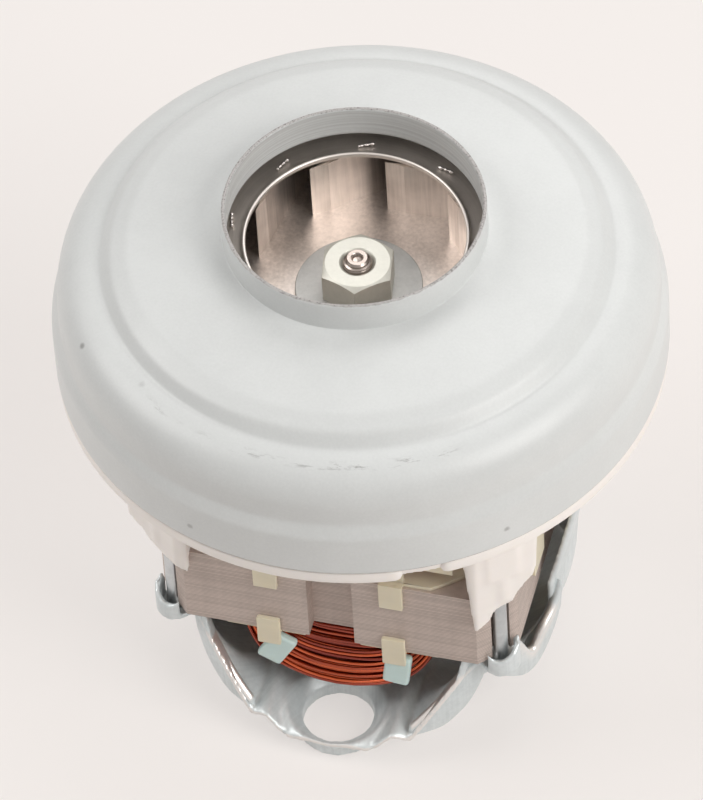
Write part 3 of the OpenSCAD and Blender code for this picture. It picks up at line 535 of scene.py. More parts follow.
# Values in the order of each class's fields
FINISHES = (
    PressedZinc(),
    CoverPaint(),
    Laminations(),
    Enamel(),
    Moulding("white_plastic", (0.94, 0.89, 0.85), 0.965, 0.46, 1800.0, 0.012 * MM, 0.08,
             (0.62, 0.53, 0.44), 0.12),
    Moulding("natural_nylon", (0.81, 0.735, 0.565), 0.9, 0.4, 1200.0, 0.015 * MM, 0.25,
             (0.3, 0.24, 0.17), 0.18),
    Moulding("clip_plastic", (0.66, 0.82, 0.80), 0.9, 0.36, 1200.0, 0.015 * MM, 0.2,
             (0.8, 0.9, 0.9), 0.2),
    Moulding("phenolic", (0.12, 0.055, 0.03), 0.8, 0.4),
    Moulding("black_moulding", (0.022, 0.022, 0.024), 0.7, 0.45),
    Moulding("carbon", (0.02, 0.02, 0.021), 0.6, 0.6, 2600.0, 0.03 * MM),
    Metal("zinc_steel", (0.66, 0.68, 0.69), (0.47, 0.49, 0.50), PLATED, 0.33, 0.2, 0.02 * MM, 0.92),
    Metal("nut_zinc", (0.76, 0.75, 0.68), (0.66, 0.65, 0.585), PLATED, 0.4, 0.12, 0.012 * MM, 0.4, 1.6),
    Metal("washer_zinc", (0.56, 0.56, 0.545), (0.44, 0.44, 0.43), PLATED, 0.5, 0.16, 0.03 * MM, 0.85, 2.2),
    Metal("fan_aluminium", (0.93, 0.845, 0.785), (0.56, 0.50, 0.46), ROLLED, 0.42, 0.2, 0.012 * MM),
    Metal("fan_shroud", (0.80, 0.75, 0.71), (0.64, 0.60, 0.565), TURNED, 0.48, 0.12, 0.008 * MM),
    Metal("staked_aluminium", (0.86, 0.82, 0.79), (0.45, 0.42, 0.4), PLATED, 0.3, 0.2, 0.05 * MM, 1.0, 3.0),
    Metal("shaft_steel", (0.46, 0.40, 0.365), (0.32, 0.275, 0.25), TURNED, 0.26, 0.1, 0.012 * MM),
    Metal("bearing_steel", (0.62, 0.62, 0.63), (0.5, 0.5, 0.51), TURNED, 0.2, 0.1, 0.008 * MM),
    Metal("brass", (0.72, 0.52, 0.2), (0.5, 0.35, 0.13), ROLLED, 0.32, 0.16),
    Metal("commutator_copper", (0.72, 0.36, 0.2), (0.45, 0.2, 0.11), TURNED, 0.3, 0.15),
)

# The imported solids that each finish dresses
NODE_FINISH: Dict[str, str] = {
    "cover_paint": "fan_cover",
    "white_plastic": "diffuser_frame guide_vane_disc",
    "lamination": "stator_core armature_core",
    "natural_nylon": "insulator_top insulator_bottom",
    "clip_plastic": "coil_clips",
    "copper_wire": "field_coil_front field_coil_rear armature_winding",
    "pressed_zinc": "motor_bracket",
    "zinc_steel": "frame_screws brush_holder_screws bearing_spring_washer",
    "bearing_steel": "fan_bearing_outer_race rear_bearing_outer_race fan_bearing_inner_race "
                     "rear_bearing_inner_race fan_bearing_balls rear_bearing_balls "
                     "brush_spring_left brush_spring_right",
    "brass": "brush_tube_left brush_tube_right brush_cap_left brush_cap_right fan_bearing_cage "
             "rear_bearing_cage",
    "black_moulding": "brush_holder_left brush_holder_right",
    "carbon": "carbon_brush_left carbon_brush_right",
    "shaft_steel": "rotor_shaft impeller_spacer",
    "phenolic": "commutator_hub",
    "commutator_copper": "commutator_bars",
    "fan_aluminium": "impeller_rear_disc impeller_blades",
    "fan_shroud": "impeller_front_disc",
    "washer_zinc": "impeller_washer",
    "nut_zinc": "impeller_nut",
}

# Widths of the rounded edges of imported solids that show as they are, in millimetres
EDGES: Dict[str, float] = {
    "insulator_top": 0.4, "insulator_bottom": 0.4, "impeller_nut": 0.3, "impeller_washer": 0.2,
}


class Shop:
    """Makes every finish once and hands it out by name."""

    def __init__(self) -> None:
        """Builds all the materials."""
        self.made: Dict[str, Material] = {f.name: f.make() for f in FINISHES}

    def dress(self, obj: Object, finish: str) -> None:
        """Puts a finish into every material slot of an object.

        Args:
            obj: the object.
            finish: the finish's name.
        """
        slots = obj.data.materials
        if not slots:
            slots.append(self.made[finish])
        for place in range(len(slots)):
            slots[place] = self.made[finish]

    def dress_nodes(self) -> None:
        """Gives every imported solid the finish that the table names, and rounds the edges of some."""
        for finish, nodes in NODE_FINISH.items():
            for node in nodes.split():
                self.dress(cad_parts[node], finish)
        for node, width in EDGES.items():
            eased(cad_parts[node], width * MM)


# Mesh helpers


def quads(rows: int, columns: int, wrap_rows: bool, wrap_columns: bool) -> np.ndarray:
    """Faces of a grid of points.

    Args:
        rows: points along the first parameter.
        columns: points along the second.
        wrap_rows: whether the last row joins the first.
        wrap_columns: whether the last column joins the first.

    Returns:
        An array of four point numbers a face.
    """
    i = np.arange(rows if wrap_rows else rows - 1)[:, None]
    j = np.arange(columns if wrap_columns else columns - 1)[None, :]
    i2, j2 = (i + 1) % rows, (j + 1) % columns
    corners = (i * columns + j, i2 * columns + j, i2 * columns + j2, i * columns + j2)
    return np.stack(np.broadcast_arrays(*corners), -1).reshape(-1, 4)


def flat_grid(rows: int, columns: int) -> Tuple[np.ndarray, np.ndarray]:
    """The row number and the column number of every cell of a grid, row by row."""
    return np.divmod(np.arange(rows * columns), columns)


def signed_power(values: np.ndarray, exponent: float) -> np.ndarray:
    """The power of the values' sizes, with the values' signs."""
    return np.sign(values) * np.abs(values) ** exponent


def round_end(away: np.ndarray, reach: float) -> np.ndarray:
    """A quarter circle's rise from 0 at an end to 1 at reach from it."""
    return np.sqrt(1 - (1 - np.clip(away / reach, 0, 1)) ** 2)


def tapered(share: np.ndarray, end: float) -> np.ndarray:
    """1 along a path, falling as a square root to 0 at both its ends, over that share of its length."""
    return np.clip(np.minimum(share, 1 - share) / end, 0, 1) ** 0.5


def hump(distance: np.ndarray, shape: Triple) -> np.ndarray:
    """A soft hump, height * exp(-((distance - place) / width)^2), from its place, width and height."""
    place, width, height = shape
    return height * np.exp(-((distance - place) / width) ** 2)


def mesh_object(name: str, points: np.ndarray, faces: np.ndarray, smooth_angle: float = 40.0) -> Object:
    """A mesh object at the origin from arrays.

    Args:
        name: the object's name.
        points: its points in metres, in any grid of 3.
        faces: its faces, four point numbers each.
        smooth_angle: edges sharper than this stay hard, in degrees.

    Returns:
        The object, linked to the scene.
    """
    mesh = bpy.data.meshes.new(name)
    mesh.vertices.add(points.size // 3)
    mesh.vertices.foreach_set("co", np.ascontiguousarray(points, np.float32).ravel())
    mesh.loops.add(faces.size)
    mesh.loops.foreach_set("vertex_index", np.ascontiguousarray(faces, np.int32).ravel())
    mesh.polygons.add(len(faces))
    mesh.polygons.foreach_set("loop_start", np.arange(0, faces.size, faces.shape[1], dtype=np.int32))
    mesh.update(calc_edges=True)
    mesh.validate()
    mesh.shade_smooth()
    mesh.set_sharp_from_angle(angle=math.radians(smooth_angle))
    return linked(name, mesh)


def linked(name: str, data: bpy.types.ID) -> Object:
    """A new object, linked to the scene.

    Args:
        name: the object's name.
        data: its mesh, light or camera.

    Returns:
        The object.
    """
    obj = bpy.data.objects.new(name, data)
    bpy.context.scene.collection.objects.link(obj)
    return obj


def resampled(line: np.ndarray, step: float) -> np.ndarray:
    """A polyline with points at even steps along its length.

    Args:
        line: its corners, n by d.
        step: about the distance between points.

    Returns:
        The new points, ends included.
    """
    run = np.concatenate([[0.0], np.cumsum(np.linalg.norm(np.diff(line, axis=0), axis=1))])
    at = np.linspace(0.0, run[-1], max(2, int(round(run[-1] / step)) + 1))
    return np.stack([np.interp(at, run, line[:, k]) for k in range(line.shape[1])], 1)


def softened(line: np.ndarray, reach: int) -> np.ndarray:
    """A polyline with round bends: twice a moving average, the ends carried on straight so that they stay.

    Args:
        line: evenly spaced points.
        reach: how many points on each side are averaged.

    Returns:
        The softened points, as many as before.
    """
    kernel = np.ones(2 * reach + 1) / (2 * reach + 1)
    for _ in range(2):
        ahead = line[:1] - (line[1:2] - line[:1]) * np.arange(reach, 0, -1)[:, None]
        after = line[-1:] + (line[-1:] - line[-2:-1]) * np.arange(1, reach + 1)[:, None]
        padded = np.concatenate([ahead, line, after])
        line = np.stack([np.convolve(padded[:, k], kernel, "valid") for k in range(line.shape[1])], 1)
    return line


def sheet_section(middle: np.ndarray, thickness: float, round_steps: int = 5) -> np.ndarray:
    """The closed section of a sheet about its middle line: both faces and half round cut edges.

    Args:
        middle: the middle line, n by 2.
        thickness: of the sheet.
        round_steps: points round each cut edge.

    Returns:
        The section's points, in order round it.
    """
    along = np.gradient(middle, axis=0)
    along /= np.linalg.norm(along, axis=1)[:, None]
    normal = np.stack([-along[:, 1], along[:, 0]], 1)
    half = thickness / 2
    turn = np.linspace(0, np.pi, round_steps + 2)[1:-1, None]
    end = middle[-1] + half * (np.cos(turn) * normal[-1] + np.sin(turn) * along[-1])
    start = middle[0] - half * (np.cos(turn) * normal[0] + np.sin(turn) * along[0])
    return np.concatenate([middle + half * normal, end, (middle - half * normal)[::-1], start])


def lathe(name: str, section: np.ndarray, segments: int = 256, smooth_angle: float = 40.0,
          closed: bool = True) -> Object:
    """A section turned about the shaft axis: (r cos a, r sin a, z) for each angle a.

    Args:
        name: the object's name.
        section: (radius, height) points in order round it.
        segments: steps round the axis.
        smooth_angle: edges sharper than this stay hard, in degrees.
        closed: whether the section's end joins its start; else both lie on the axis.

    Returns:
        The object.
    """
    a = np.arange(segments) * (FULL_TURN / segments)
    ring = np.stack([np.cos(a), np.sin(a)], 1)
    points = np.concatenate([section[None, :, :1] * ring[:, None, :],
                             np.broadcast_to(section[None, :, 1:], (segments, len(section), 1))], 2)
    faces = quads(segments, len(section), True, closed)
    area = np.sum(section[:, 0] * np.roll(section[:, 1], -1) - np.roll(section[:, 0], -1) * section[:, 1])
    return mesh_object(name, points, faces[:, ::-1] if area > 0 else faces, smooth_angle)


def tubes(name: str, paths: np.ndarray, radius: Union[float, np.ndarray], sides: int,
          aside: Union[Sequence[float], np.ndarray], values: Optional[np.ndarray] = None,
          closed: bool = True) -> Object:
    """Round wires in one mesh: p + radius (cos s n + sin s b), with n across the path and aside.

    Args:
        name: the object's name.
        paths: wires by points by 3.
        radius: of the wire, or one for each point of each wire.
        sides: round the wire.
        aside: a direction that the paths never take, or one for each point.
        values: one number a wire, kept in the attribute "turn".
        closed: whether each wire's end joins its start.

    Returns:
        The object.
    """
    loops, steps = paths.shape[:2]
    radius = np.broadcast_to(radius, (loops, steps))[..., None, None]
    along = np.roll(paths, -1, 1) - np.roll(paths, 1, 1) if closed else np.gradient(paths, axis=1)
    along /= np.linalg.norm(along, axis=2)[..., None]
    n = np.cross(along, np.asarray(aside, float))
    n /= np.linalg.norm(n, axis=2)[..., None]
    b = np.cross(along, n)
    s = (np.arange(sides) * (FULL_TURN / sides))[:, None]
    points = paths[:, :, None] + radius * (np.cos(s) * n[:, :, None] + np.sin(s) * b[:, :, None])
    one = quads(steps, sides, closed, True)
    faces = (one[None] + (np.arange(loops) * steps * sides)[:, None, None]).reshape(-1, 4)
    obj = mesh_object(name, points, faces, 180.0)
    if values is not None:
        kept = obj.data.attributes.new("turn", "FLOAT", "POINT")
        kept.data.foreach_set("value", np.repeat(values, steps * sides).astype(np.float32))
    return obj


def block(name: str, size: Sequence[float], place: Matrix) -> Object:
    """A box about the origin of a placing matrix.

    Args:
        name: the object's name.
        size: its three sides in metres.
        place: turns and moves it; the points take it up, so that the object stays unturned.

    Returns:
        The object.
    """
    x, y, z = np.meshgrid(*([-0.5, 0.5],) * 3, indexing="ij")
    corners = np.stack([x, y, z], -1).reshape(-1, 3) * np.asarray(size)
    turned = corners @ np.array(place.to_3x3()).T + np.array(place.translation)
    sides = [[0, 1, 3, 2], [4, 6, 7, 5], [0, 4, 5, 1], [2, 3, 7, 6], [0, 2, 6, 4], [1, 5, 7, 3]]
    return mesh_object(name, turned, np.array(sides))


def bars(name: str, rings: Sequence[np.ndarray]) -> Object:
    """Four sided bars with flat ends in one mesh, whose faces all point outwards.

    Args:
        name: the object's name.
        rings: for each bar, its cross sections in order, n by 4 by 3.

    Returns:
        The object.
    """
    faces, first = [], 0
    for ring in rings:
        last = 4 * (len(ring) - 1)
        ends = np.array([[3, 2, 1, 0], [last, last + 1, last + 2, last + 3]])
        faces.append(np.concatenate([quads(len(ring), 4, False, True), ends]) + first)
        first += 4 * len(ring)
    obj = mesh_object(name, np.concatenate(rings), np.concatenate(faces))
    shape = bmesh.new()
    shape.from_mesh(obj.data)
    bmesh.ops.recalc_face_normals(shape, faces=shape.faces)
    shape.to_mesh(obj.data)
    shape.free()
    return obj


def modified(obj: Object, name: str, kind: str, **settings: object) -> None:
    """Adds a modifier.

    Args:
        obj: the object.
        name: the modifier's name.
        kind: its type.
        settings: its properties.
    """
    made = obj.modifiers.new(name, kind)
    for key, value in settings.items():
        setattr(made, key, value)


def eased(obj: Object, width: float, segments: int = 3) -> None:
    """Rounds an object's edges: welds the points of neighbouring faces, then bevels the sharp edges.

    Args:
        obj: the object.
        width: of the bevels in metres.
        segments: of the bevels.
    """
    modified(obj, "weld", "WELD", merge_threshold=WELD_GAP)
    modified(obj, "round_edges", "BEVEL", width=width, segments=segments, limit_method="ANGLE",
             angle_limit=math.radians(40.0), harden_normals=True)


def baked(obj: Object) -> Object:
    """Turns what an object's modifiers make into its mesh.

    Args:
        obj: the object, whose modifiers are then removed.

    Returns:
        The object.
    """
    made = obj.evaluated_get(bpy.context.evaluated_depsgraph_get())
    obj.data = bpy.data.meshes.new_from_object(made)
    obj.modifiers.clear()
    return obj


def relaxed_copy(node: str, name: str, cell: float, passes: int, cutter: Optional[Object] = None,
                 filler: Optional[Object] = None) -> Object:
    """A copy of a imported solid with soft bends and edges: remeshed in even cells and relaxed.

    Args:
        node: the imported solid.
        name: the copy's name.
        cell: the size of the cells in metres.
        passes: how often the points are relaxed.
        cutter: a shape that is cut away first and then removed.
        filler: a shape that is merged in after that and then removed.

    Returns:
        The copy.
    """
    obj = linked(name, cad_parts[node].data.copy())
    if cutter is not None:
        modified(obj, "weld", "WELD", merge_threshold=WELD_GAP)
        modified(obj, "trim", "BOOLEAN", operation="DIFFERENCE", object=cutter, solver="EXACT")
        baked(obj)
        bpy.data.objects.remove(cutter)
    if filler is not None:
        shape = bmesh.new()
        shape.from_mesh(obj.data)
        shape.from_mesh(filler.data)
        shape.to_mesh(obj.data)
        shape.free()
        bpy.data.objects.remove(filler)
    modified(obj, "even_cells", "REMESH", mode="VOXEL", voxel_size=cell, use_smooth_shade=True)
    modified(obj, "relax", "SMOOTH", factor=0.5, iterations=passes)
    return baked(obj)


@dataclass(frozen=True)
class Lamp:
    """A square soft box that faces the unit; place and size in metres, power in watts."""

    name: str
    where: Triple
    power: float
    colour: Colour
    size: float = 1.0
    aim: Triple = (0.0, 0.0, 0.08)

    def add(self) -> None:
        """Adds the lamp to the scene."""
        data = bpy.data.lights.new(self.name, "AREA")
        data.shape = "SQUARE"
        data.size, data.energy, data.color = self.size, self.power, self.colour
        obj = linked(self.name, data)
        obj.location = self.where
        obj.rotation_euler = (Vector(self.aim) - Vector(self.where)).to_track_quat("-Z", "Y").to_euler()


@dataclass
class Studio:
    """Camera, lights, world and floor."""

    target: Triple = (-3.34 * MM, -1.04 * MM, 75.7 * MM)
    distance: float = 1872.0 * MM
    azimuth: float = 17.21
    elevation: float = 49.98
    roll: float = -3.81
    focal_px: float = 7918.0
    picture_px: int = 800
    sensor: float = 36.0
    clip: Pair = (0.05, 60.0)
    lamps: Tuple[Lamp, ...] = (
        Lamp("key", (1.25, -0.4, 1.05), 17.5, (1.0, 0.985, 0.965)),
        Lamp("fill", (-1.2, -0.2, 1.2), 11.5, (1.0, 0.985, 0.97)),
        Lamp("back", (0.1, 1.15, 1.35), 9.0, (1.0, 0.99, 0.98)))
    sky_light: Colour = (0.23, 0.227, 0.223)
    sky_seen: Colour = (0.78, 0.75, 0.73)
    paper: Colour = (0.985, 0.937, 0.908)
    paper_lift: float = 0.55
    paper_half: float = 4.0
    paper_points: int = 9
    paper_z: float = -0.2 * MM

    def camera(self) -> None:
        """Sets the camera where the photograph was taken from: a fitted pose and focal length."""
        a, e, k = (math.radians(d) for d in (self.azimuth, self.elevation, self.roll))
        back = Vector((math.sin(a) * math.cos(e), -math.cos(a) * math.cos(e), math.sin(e)))
        right = Vector((math.cos(a), math.sin(a), 0.0))
        up = back.cross(right)
        side = math.cos(k) * right + math.sin(k) * up
        top = -math.sin(k) * right + math.cos(k) * up
        data = bpy.data.cameras.new("camera")
        data.sensor_fit = "VERTICAL"
        data.sensor_height = self.sensor
        data.lens = self.focal_px / self.picture_px * self.sensor
        data.clip_start, data.clip_end = self.clip
        obj = linked("camera", data)
        turn = Matrix((side, top, back)).transposed().to_4x4()
        obj.matrix_world = Matrix.Translation(Vector(self.target) + back * self.distance) @ turn
        bpy.context.scene.camera = obj

    def world(self) -> None:
        """A plain world: one level lights matt surfaces, another is what the camera and reflections see."""
        t = Tree("world", "worlds")
        shade = t.seen.tint(self.sky_light, self.sky_seen)
        bpy.context.scene.world = t.end(t.node("ShaderNodeBackground", None, {"Color": shade}), "World")

    def floor(self) -> None:
        """A wide pale floor that keeps the unit's shadow, lifted a little where it is seen."""
        t = Tree("floor")
        cloud = t.noise(3.0)
        paper = cloud.ramp(0.3, 0.7).tint(scaled(self.paper, 0.985), self.paper)
        shaded = cloud.ramp(0.3, 0.7).tint(scaled(self.paper, 0.815), scaled(self.paper, 0.83))
        matt = t.node("ShaderNodeBsdfDiffuse", None, {"Color": shaded})
        glow = t.node("ShaderNodeEmission", None, {"Color": paper, "Strength": 1.0})
        mixed = t.node("ShaderNodeMixShader", None, {0: t.seen * self.paper_lift, 1: matt, 2: glow})
        grid = np.linspace(-self.paper_half, self.paper_half, self.paper_points)
        x, y = np.meshgrid(grid, grid, indexing="ij")
        points = np.stack([x, y, np.full_like(x, self.paper_z)], -1)
        obj = mesh_object("floor", points, quads(self.paper_points, self.paper_points, False, False))
        obj.data.materials.append(t.end(mixed))

    def build(self) -> None:
        """Builds the whole studio."""
        self.camera()
        for lamp in self.lamps:
            lamp.add()
        self.world()
        self.floor()
        bpy.context.scene.view_settings.view_transform = "Standard"


@dataclass
class Part(ABC):
    """A sub-assembly that is shown by meshes of its own, in finishes of the shop."""

    shop: Shop

    def put(self, obj: Object, finish: str, slot: str, body: str, node: Optional[str] = None) -> Object:
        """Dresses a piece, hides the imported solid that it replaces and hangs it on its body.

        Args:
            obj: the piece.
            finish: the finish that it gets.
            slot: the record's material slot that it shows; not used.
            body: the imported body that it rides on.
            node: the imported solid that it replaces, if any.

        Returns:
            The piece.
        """
        self.shop.dress(obj, finish)
        if node is not None:
            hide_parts(node)
        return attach(obj, body)

    @abstractmethod
    def build(self) -> List[Object]:
        """Builds and dresses the pieces.

        Returns:
            The pieces.
        """


@dataclass
class FanCover(Part):
    """The drawn cover: a line from its rim to the collar's lip, softened at the bends, and turned."""

    rim_r: float = 72.0
    rim_z: float = 99.2
    thickness: float = 1.0
    band_z: float = 111.0
    band_blend: float = 3.6
    wall_r: float = 70.2
    shoulder_z: float = 119.0
    shoulder_r: float = 10.0
    shoulder_a: float = 80.0
    shoulder_points: int = 16
    valley: Pair = (59.5, 129.2)
    riser: Pair = (56.9, 132.2)
    plate_edge: Pair = (53.1, 133.8)
    plate_z: float = 137.0
    inlet_r: float = 30.7
    lip_z: float = 145.0
    step: float = 0.42

    def middle(self) -> np.ndarray:
        """The middle line of the sheet, from the rim to the collar's lip.

        Returns:
            Evenly spaced (radius, height) points.
        """
        h = self.thickness / 2
        a = np.radians(np.linspace(0, self.shoulder_a, self.shoulder_points))[:, None]
        centre = np.array([[self.wall_r - self.shoulder_r, self.shoulder_z]])
        arc = centre + (self.shoulder_r - h) * np.concatenate([np.cos(a), np.sin(a)], 1)
        corners = np.concatenate([
            [[self.rim_r - h, self.rim_z + h], [self.rim_r - h, self.band_z],
             [self.wall_r - h, self.band_z + self.band_blend]],
            arc, np.array([self.valley, self.riser, self.plate_edge]) - [0.0, h],
            [[self.inlet_r - h, self.plate_z - h], [self.inlet_r - h, self.lip_z - h]]])
        return softened(resampled(corners, self.step), 1)

    def build(self) -> List[Object]:
        """Turns the sheet about the shaft axis; see Part."""
        obj = lathe("cover_shell", sheet_section(self.middle(), self.thickness) * MM)
        return [self.put(obj, "cover_paint", "cover_paint", "motor_body", "fan_cover")]


@dataclass
class Impeller(Part):
    """The shroud with its rolled eye, the staked ends of the blade tabs, and the shaft."""

    eye_r: float = 25.5
    eye_z: float = 134.2
    thickness: float = 0.9
    flare_r: float = 28.0
    flare_z: float = 132.2
    # Heights of the flare's inner and outer end above flare_z
    flare_rise: Pair = (0.4, 0.1)
    edge_r: float = 62.0
    edge_z: float = 125.1
    step: float = 0.3
    blades: int = 9
    tab_a: float = 19.7
    tab_half_a: float = 3.9
    tab_r: Pair = (30.4, 29.3)
    tab_z: float = 132.55
    tab_steps: int = 25
    tab_seed: int = 11
    # Half a tab's thickness: in its middle, what its ends add, and its lumps
    tab_fat: Triple = (0.26, 0.3, 0.12)
    tab_waves: float = 22.0
    tab_end: float = 0.08
    nose_r: float = 3.5
    nose_z: float = 126.8
    nose_neck: Pair = (0.7, 0.95)
    chamfer: float = 0.45
    # Radius, and depth below the shaft's end
    centre_hole: Tuple[Pair, ...] = ((1.5, 0.0), (1.35, 0.1), (0.95, 0.9), (0.0, 1.0))
    journal_r: float = 4.0
    journal_edge: float = 0.5
    shaft_r: float = 5.0
    shaft_z: Tuple[float, float, float, float] = (2.6, 9.3, 97.4, 104.4)
    thread_z: Pair = (117.5, 125.6)
    thread_pitch: float = 1.0
    thread_depth: float = 0.16
    thread_points: int = 140

    def shroud(self) -> Object:
        """The dished front disc: its middle line runs from the lip round the flare and out to the edge.

        Returns:
            The mesh object.
        """
        h = self.thickness / 2
        inner, outer = self.flare_rise
        corners = np.array([[self.eye_r + h, self.eye_z - h], [self.eye_r + h, self.flare_z + inner],
                            [self.flare_r, self.flare_z - h + outer], [self.edge_r - h, self.edge_z]])
        line = softened(resampled(corners, self.step), 3)
        return lathe("impeller_shroud", sheet_section(line, self.thickness) * MM)

    def rivets(self) -> Object:
        """The staked blade tabs: short ridges on the shroud, thick at both ends and lumpy between.

        Returns:
            The mesh object.
        """
        chance = np.random.default_rng(self.tab_seed)
        thin, swell, lump = self.tab_fat
        s = np.linspace(0, 1, self.tab_steps)
        turn = self.tab_a + np.arange(self.blades)[:, None] * (360 / self.blades)
        a = np.radians(turn + self.tab_half_a * (2 * s - 1))
        r = self.tab_r[0] + (self.tab_r[1] - self.tab_r[0]) * s
        lumps = lump * np.sin(self.tab_waves * s + chance.uniform(0, ANY_PHASE, (self.blades, 1)))
        fat = tapered(s, self.tab_end) * (thin + swell * np.abs(2 * s - 1) ** 3 + lumps)
        paths = np.stack([r * np.cos(a), r * np.sin(a), np.full_like(a, self.tab_z)], -1)
        return tubes("staked_tabs", paths * MM, fat * MM, 10, (0, 0, 1), closed=False)

    def shaft(self) -> Object:
        """The turned shaft: journals, body and a threaded nose with a chamfered end and a centre hole.

        Returns:
            The mesh object.
        """
        low, step, neck, seat = self.shaft_z
        z = np.linspace(*self.thread_z, self.thread_points)
        deep = self.thread_depth
        thread = np.stack([self.nose_r - deep + deep * np.cos(FULL_TURN * z / self.thread_pitch), z], 1)
        r, top = self.nose_r, self.nose_z
        journal, edge = self.journal_r, self.journal_edge
        thin, drop = self.nose_neck
        outline = np.concatenate([
            [[0.0, low], [journal - edge, low], [journal, low + edge], [journal, step],
             [self.shaft_r, step], [self.shaft_r, neck], [journal, neck], [journal, seat], [r, seat],
             [r, self.thread_z[0]]],
            thread,
            [[r - thin, top - drop], [r - thin, top - self.chamfer], [r - thin - self.chamfer, top]],
            np.array(self.centre_hole) * [1, -1] + [0.0, top]])
        return lathe("turned_shaft", outline * MM, 72, 30.0, closed=False)

    def build(self) -> List[Object]:
        """Builds the shroud, the staked tabs and the shaft; see Part."""
        return [self.put(self.shroud(), "fan_shroud", "fan_shroud", "rotor", "impeller_front_disc"),
                self.put(self.rivets(), "staked_aluminium", "fan_aluminium", "rotor"),
                self.put(self.shaft(), "shaft_steel", "shaft_steel", "rotor", "rotor_shaft")]


@dataclass
class FieldCoils(Part):
    """Random wound field coils: many turns of enamelled wire round each pole, loose at the end turns."""

    columns: int = 15
    layers: int = 5
    wire: float = 0.84
    first: Pair = (16.2, 16.1)
    last: Pair = (25.8, 28.3)
    wander: float = 0.045
    sag: float = 2.4
    sag_w: float = 10.0
    face: float = 28.0
    depth: float = 1.9
    bulge: float = 7.4
    layer_bulge: float = 0.5
    bulge_wander: float = 0.3
    middle_z: float = 45.8
    straight: float = 13.2
    square: float = 0.62
    steps: int = 120
    sides: int = 8

    def paths(self, seed: int) -> Tuple[np.ndarray, np.ndarray]:
        """The front coil's turns: rounded rectangles x = a cos^q, z = b sin^q that bulge past the stack.

        Args:
            seed: of the small wanderings of the wires.

        Returns:
            Loops by points by 3, and one number a loop.
        """
        chance = np.random.default_rng(seed)
        layer, column = flat_grid(self.layers, self.columns)
        share = (column + 0.5 * (layer % 2)) / (self.columns - 0.5)
        layer = layer[:, None]
        phi = np.linspace(0, FULL_TURN, self.steps, endpoint=False)[None, :]
        one = layer.shape
        wander = sum(chance.uniform(-1, 1, one) * np.sin(k * phi + chance.uniform(0, ANY_PHASE, one))
                     for k in (1, 2, 3, 5)) / 4
        share = share[:, None] + self.wander * wander
        a, b = (low + (high - low) * share for low, high in zip(self.first, self.last))
        x, dz = a * signed_power(np.cos(phi), self.square), b * signed_power(np.sin(phi), self.square)
        lift = np.clip((np.abs(dz) - self.straight) / (self.last[1] - self.straight), 0, 1)
        v = self.face + self.depth * layer / (self.layers - 1)
        v = v + (self.bulge + self.layer_bulge * layer) * lift
        v = v + self.bulge_wander * lift * np.roll(wander, 3, 0)
        dz = dz - self.sag * share * np.exp(-(x / self.sag_w) ** 2) * (dz < 0)
        return np.stack([x, -v, self.middle_z + dz], -1), chance.uniform(0, 1, len(layer))

    def build(self) -> List[Object]:
        """Winds both coils; see Part."""
        made = []
        for end, sign, seed in (("front", 1, 3), ("rear", -1, 5)):
            paths, own = self.paths(seed)
            paths = paths * np.array([sign, sign, 1.0])
            obj = tubes(f"coil_{end}", paths * MM, self.wire / 2 * MM, self.sides, (0, 1, 0), own)
            made.append(self.put(obj, "copper_wire", "copper_wire", "motor_body", f"field_coil_{end}"))
        return made


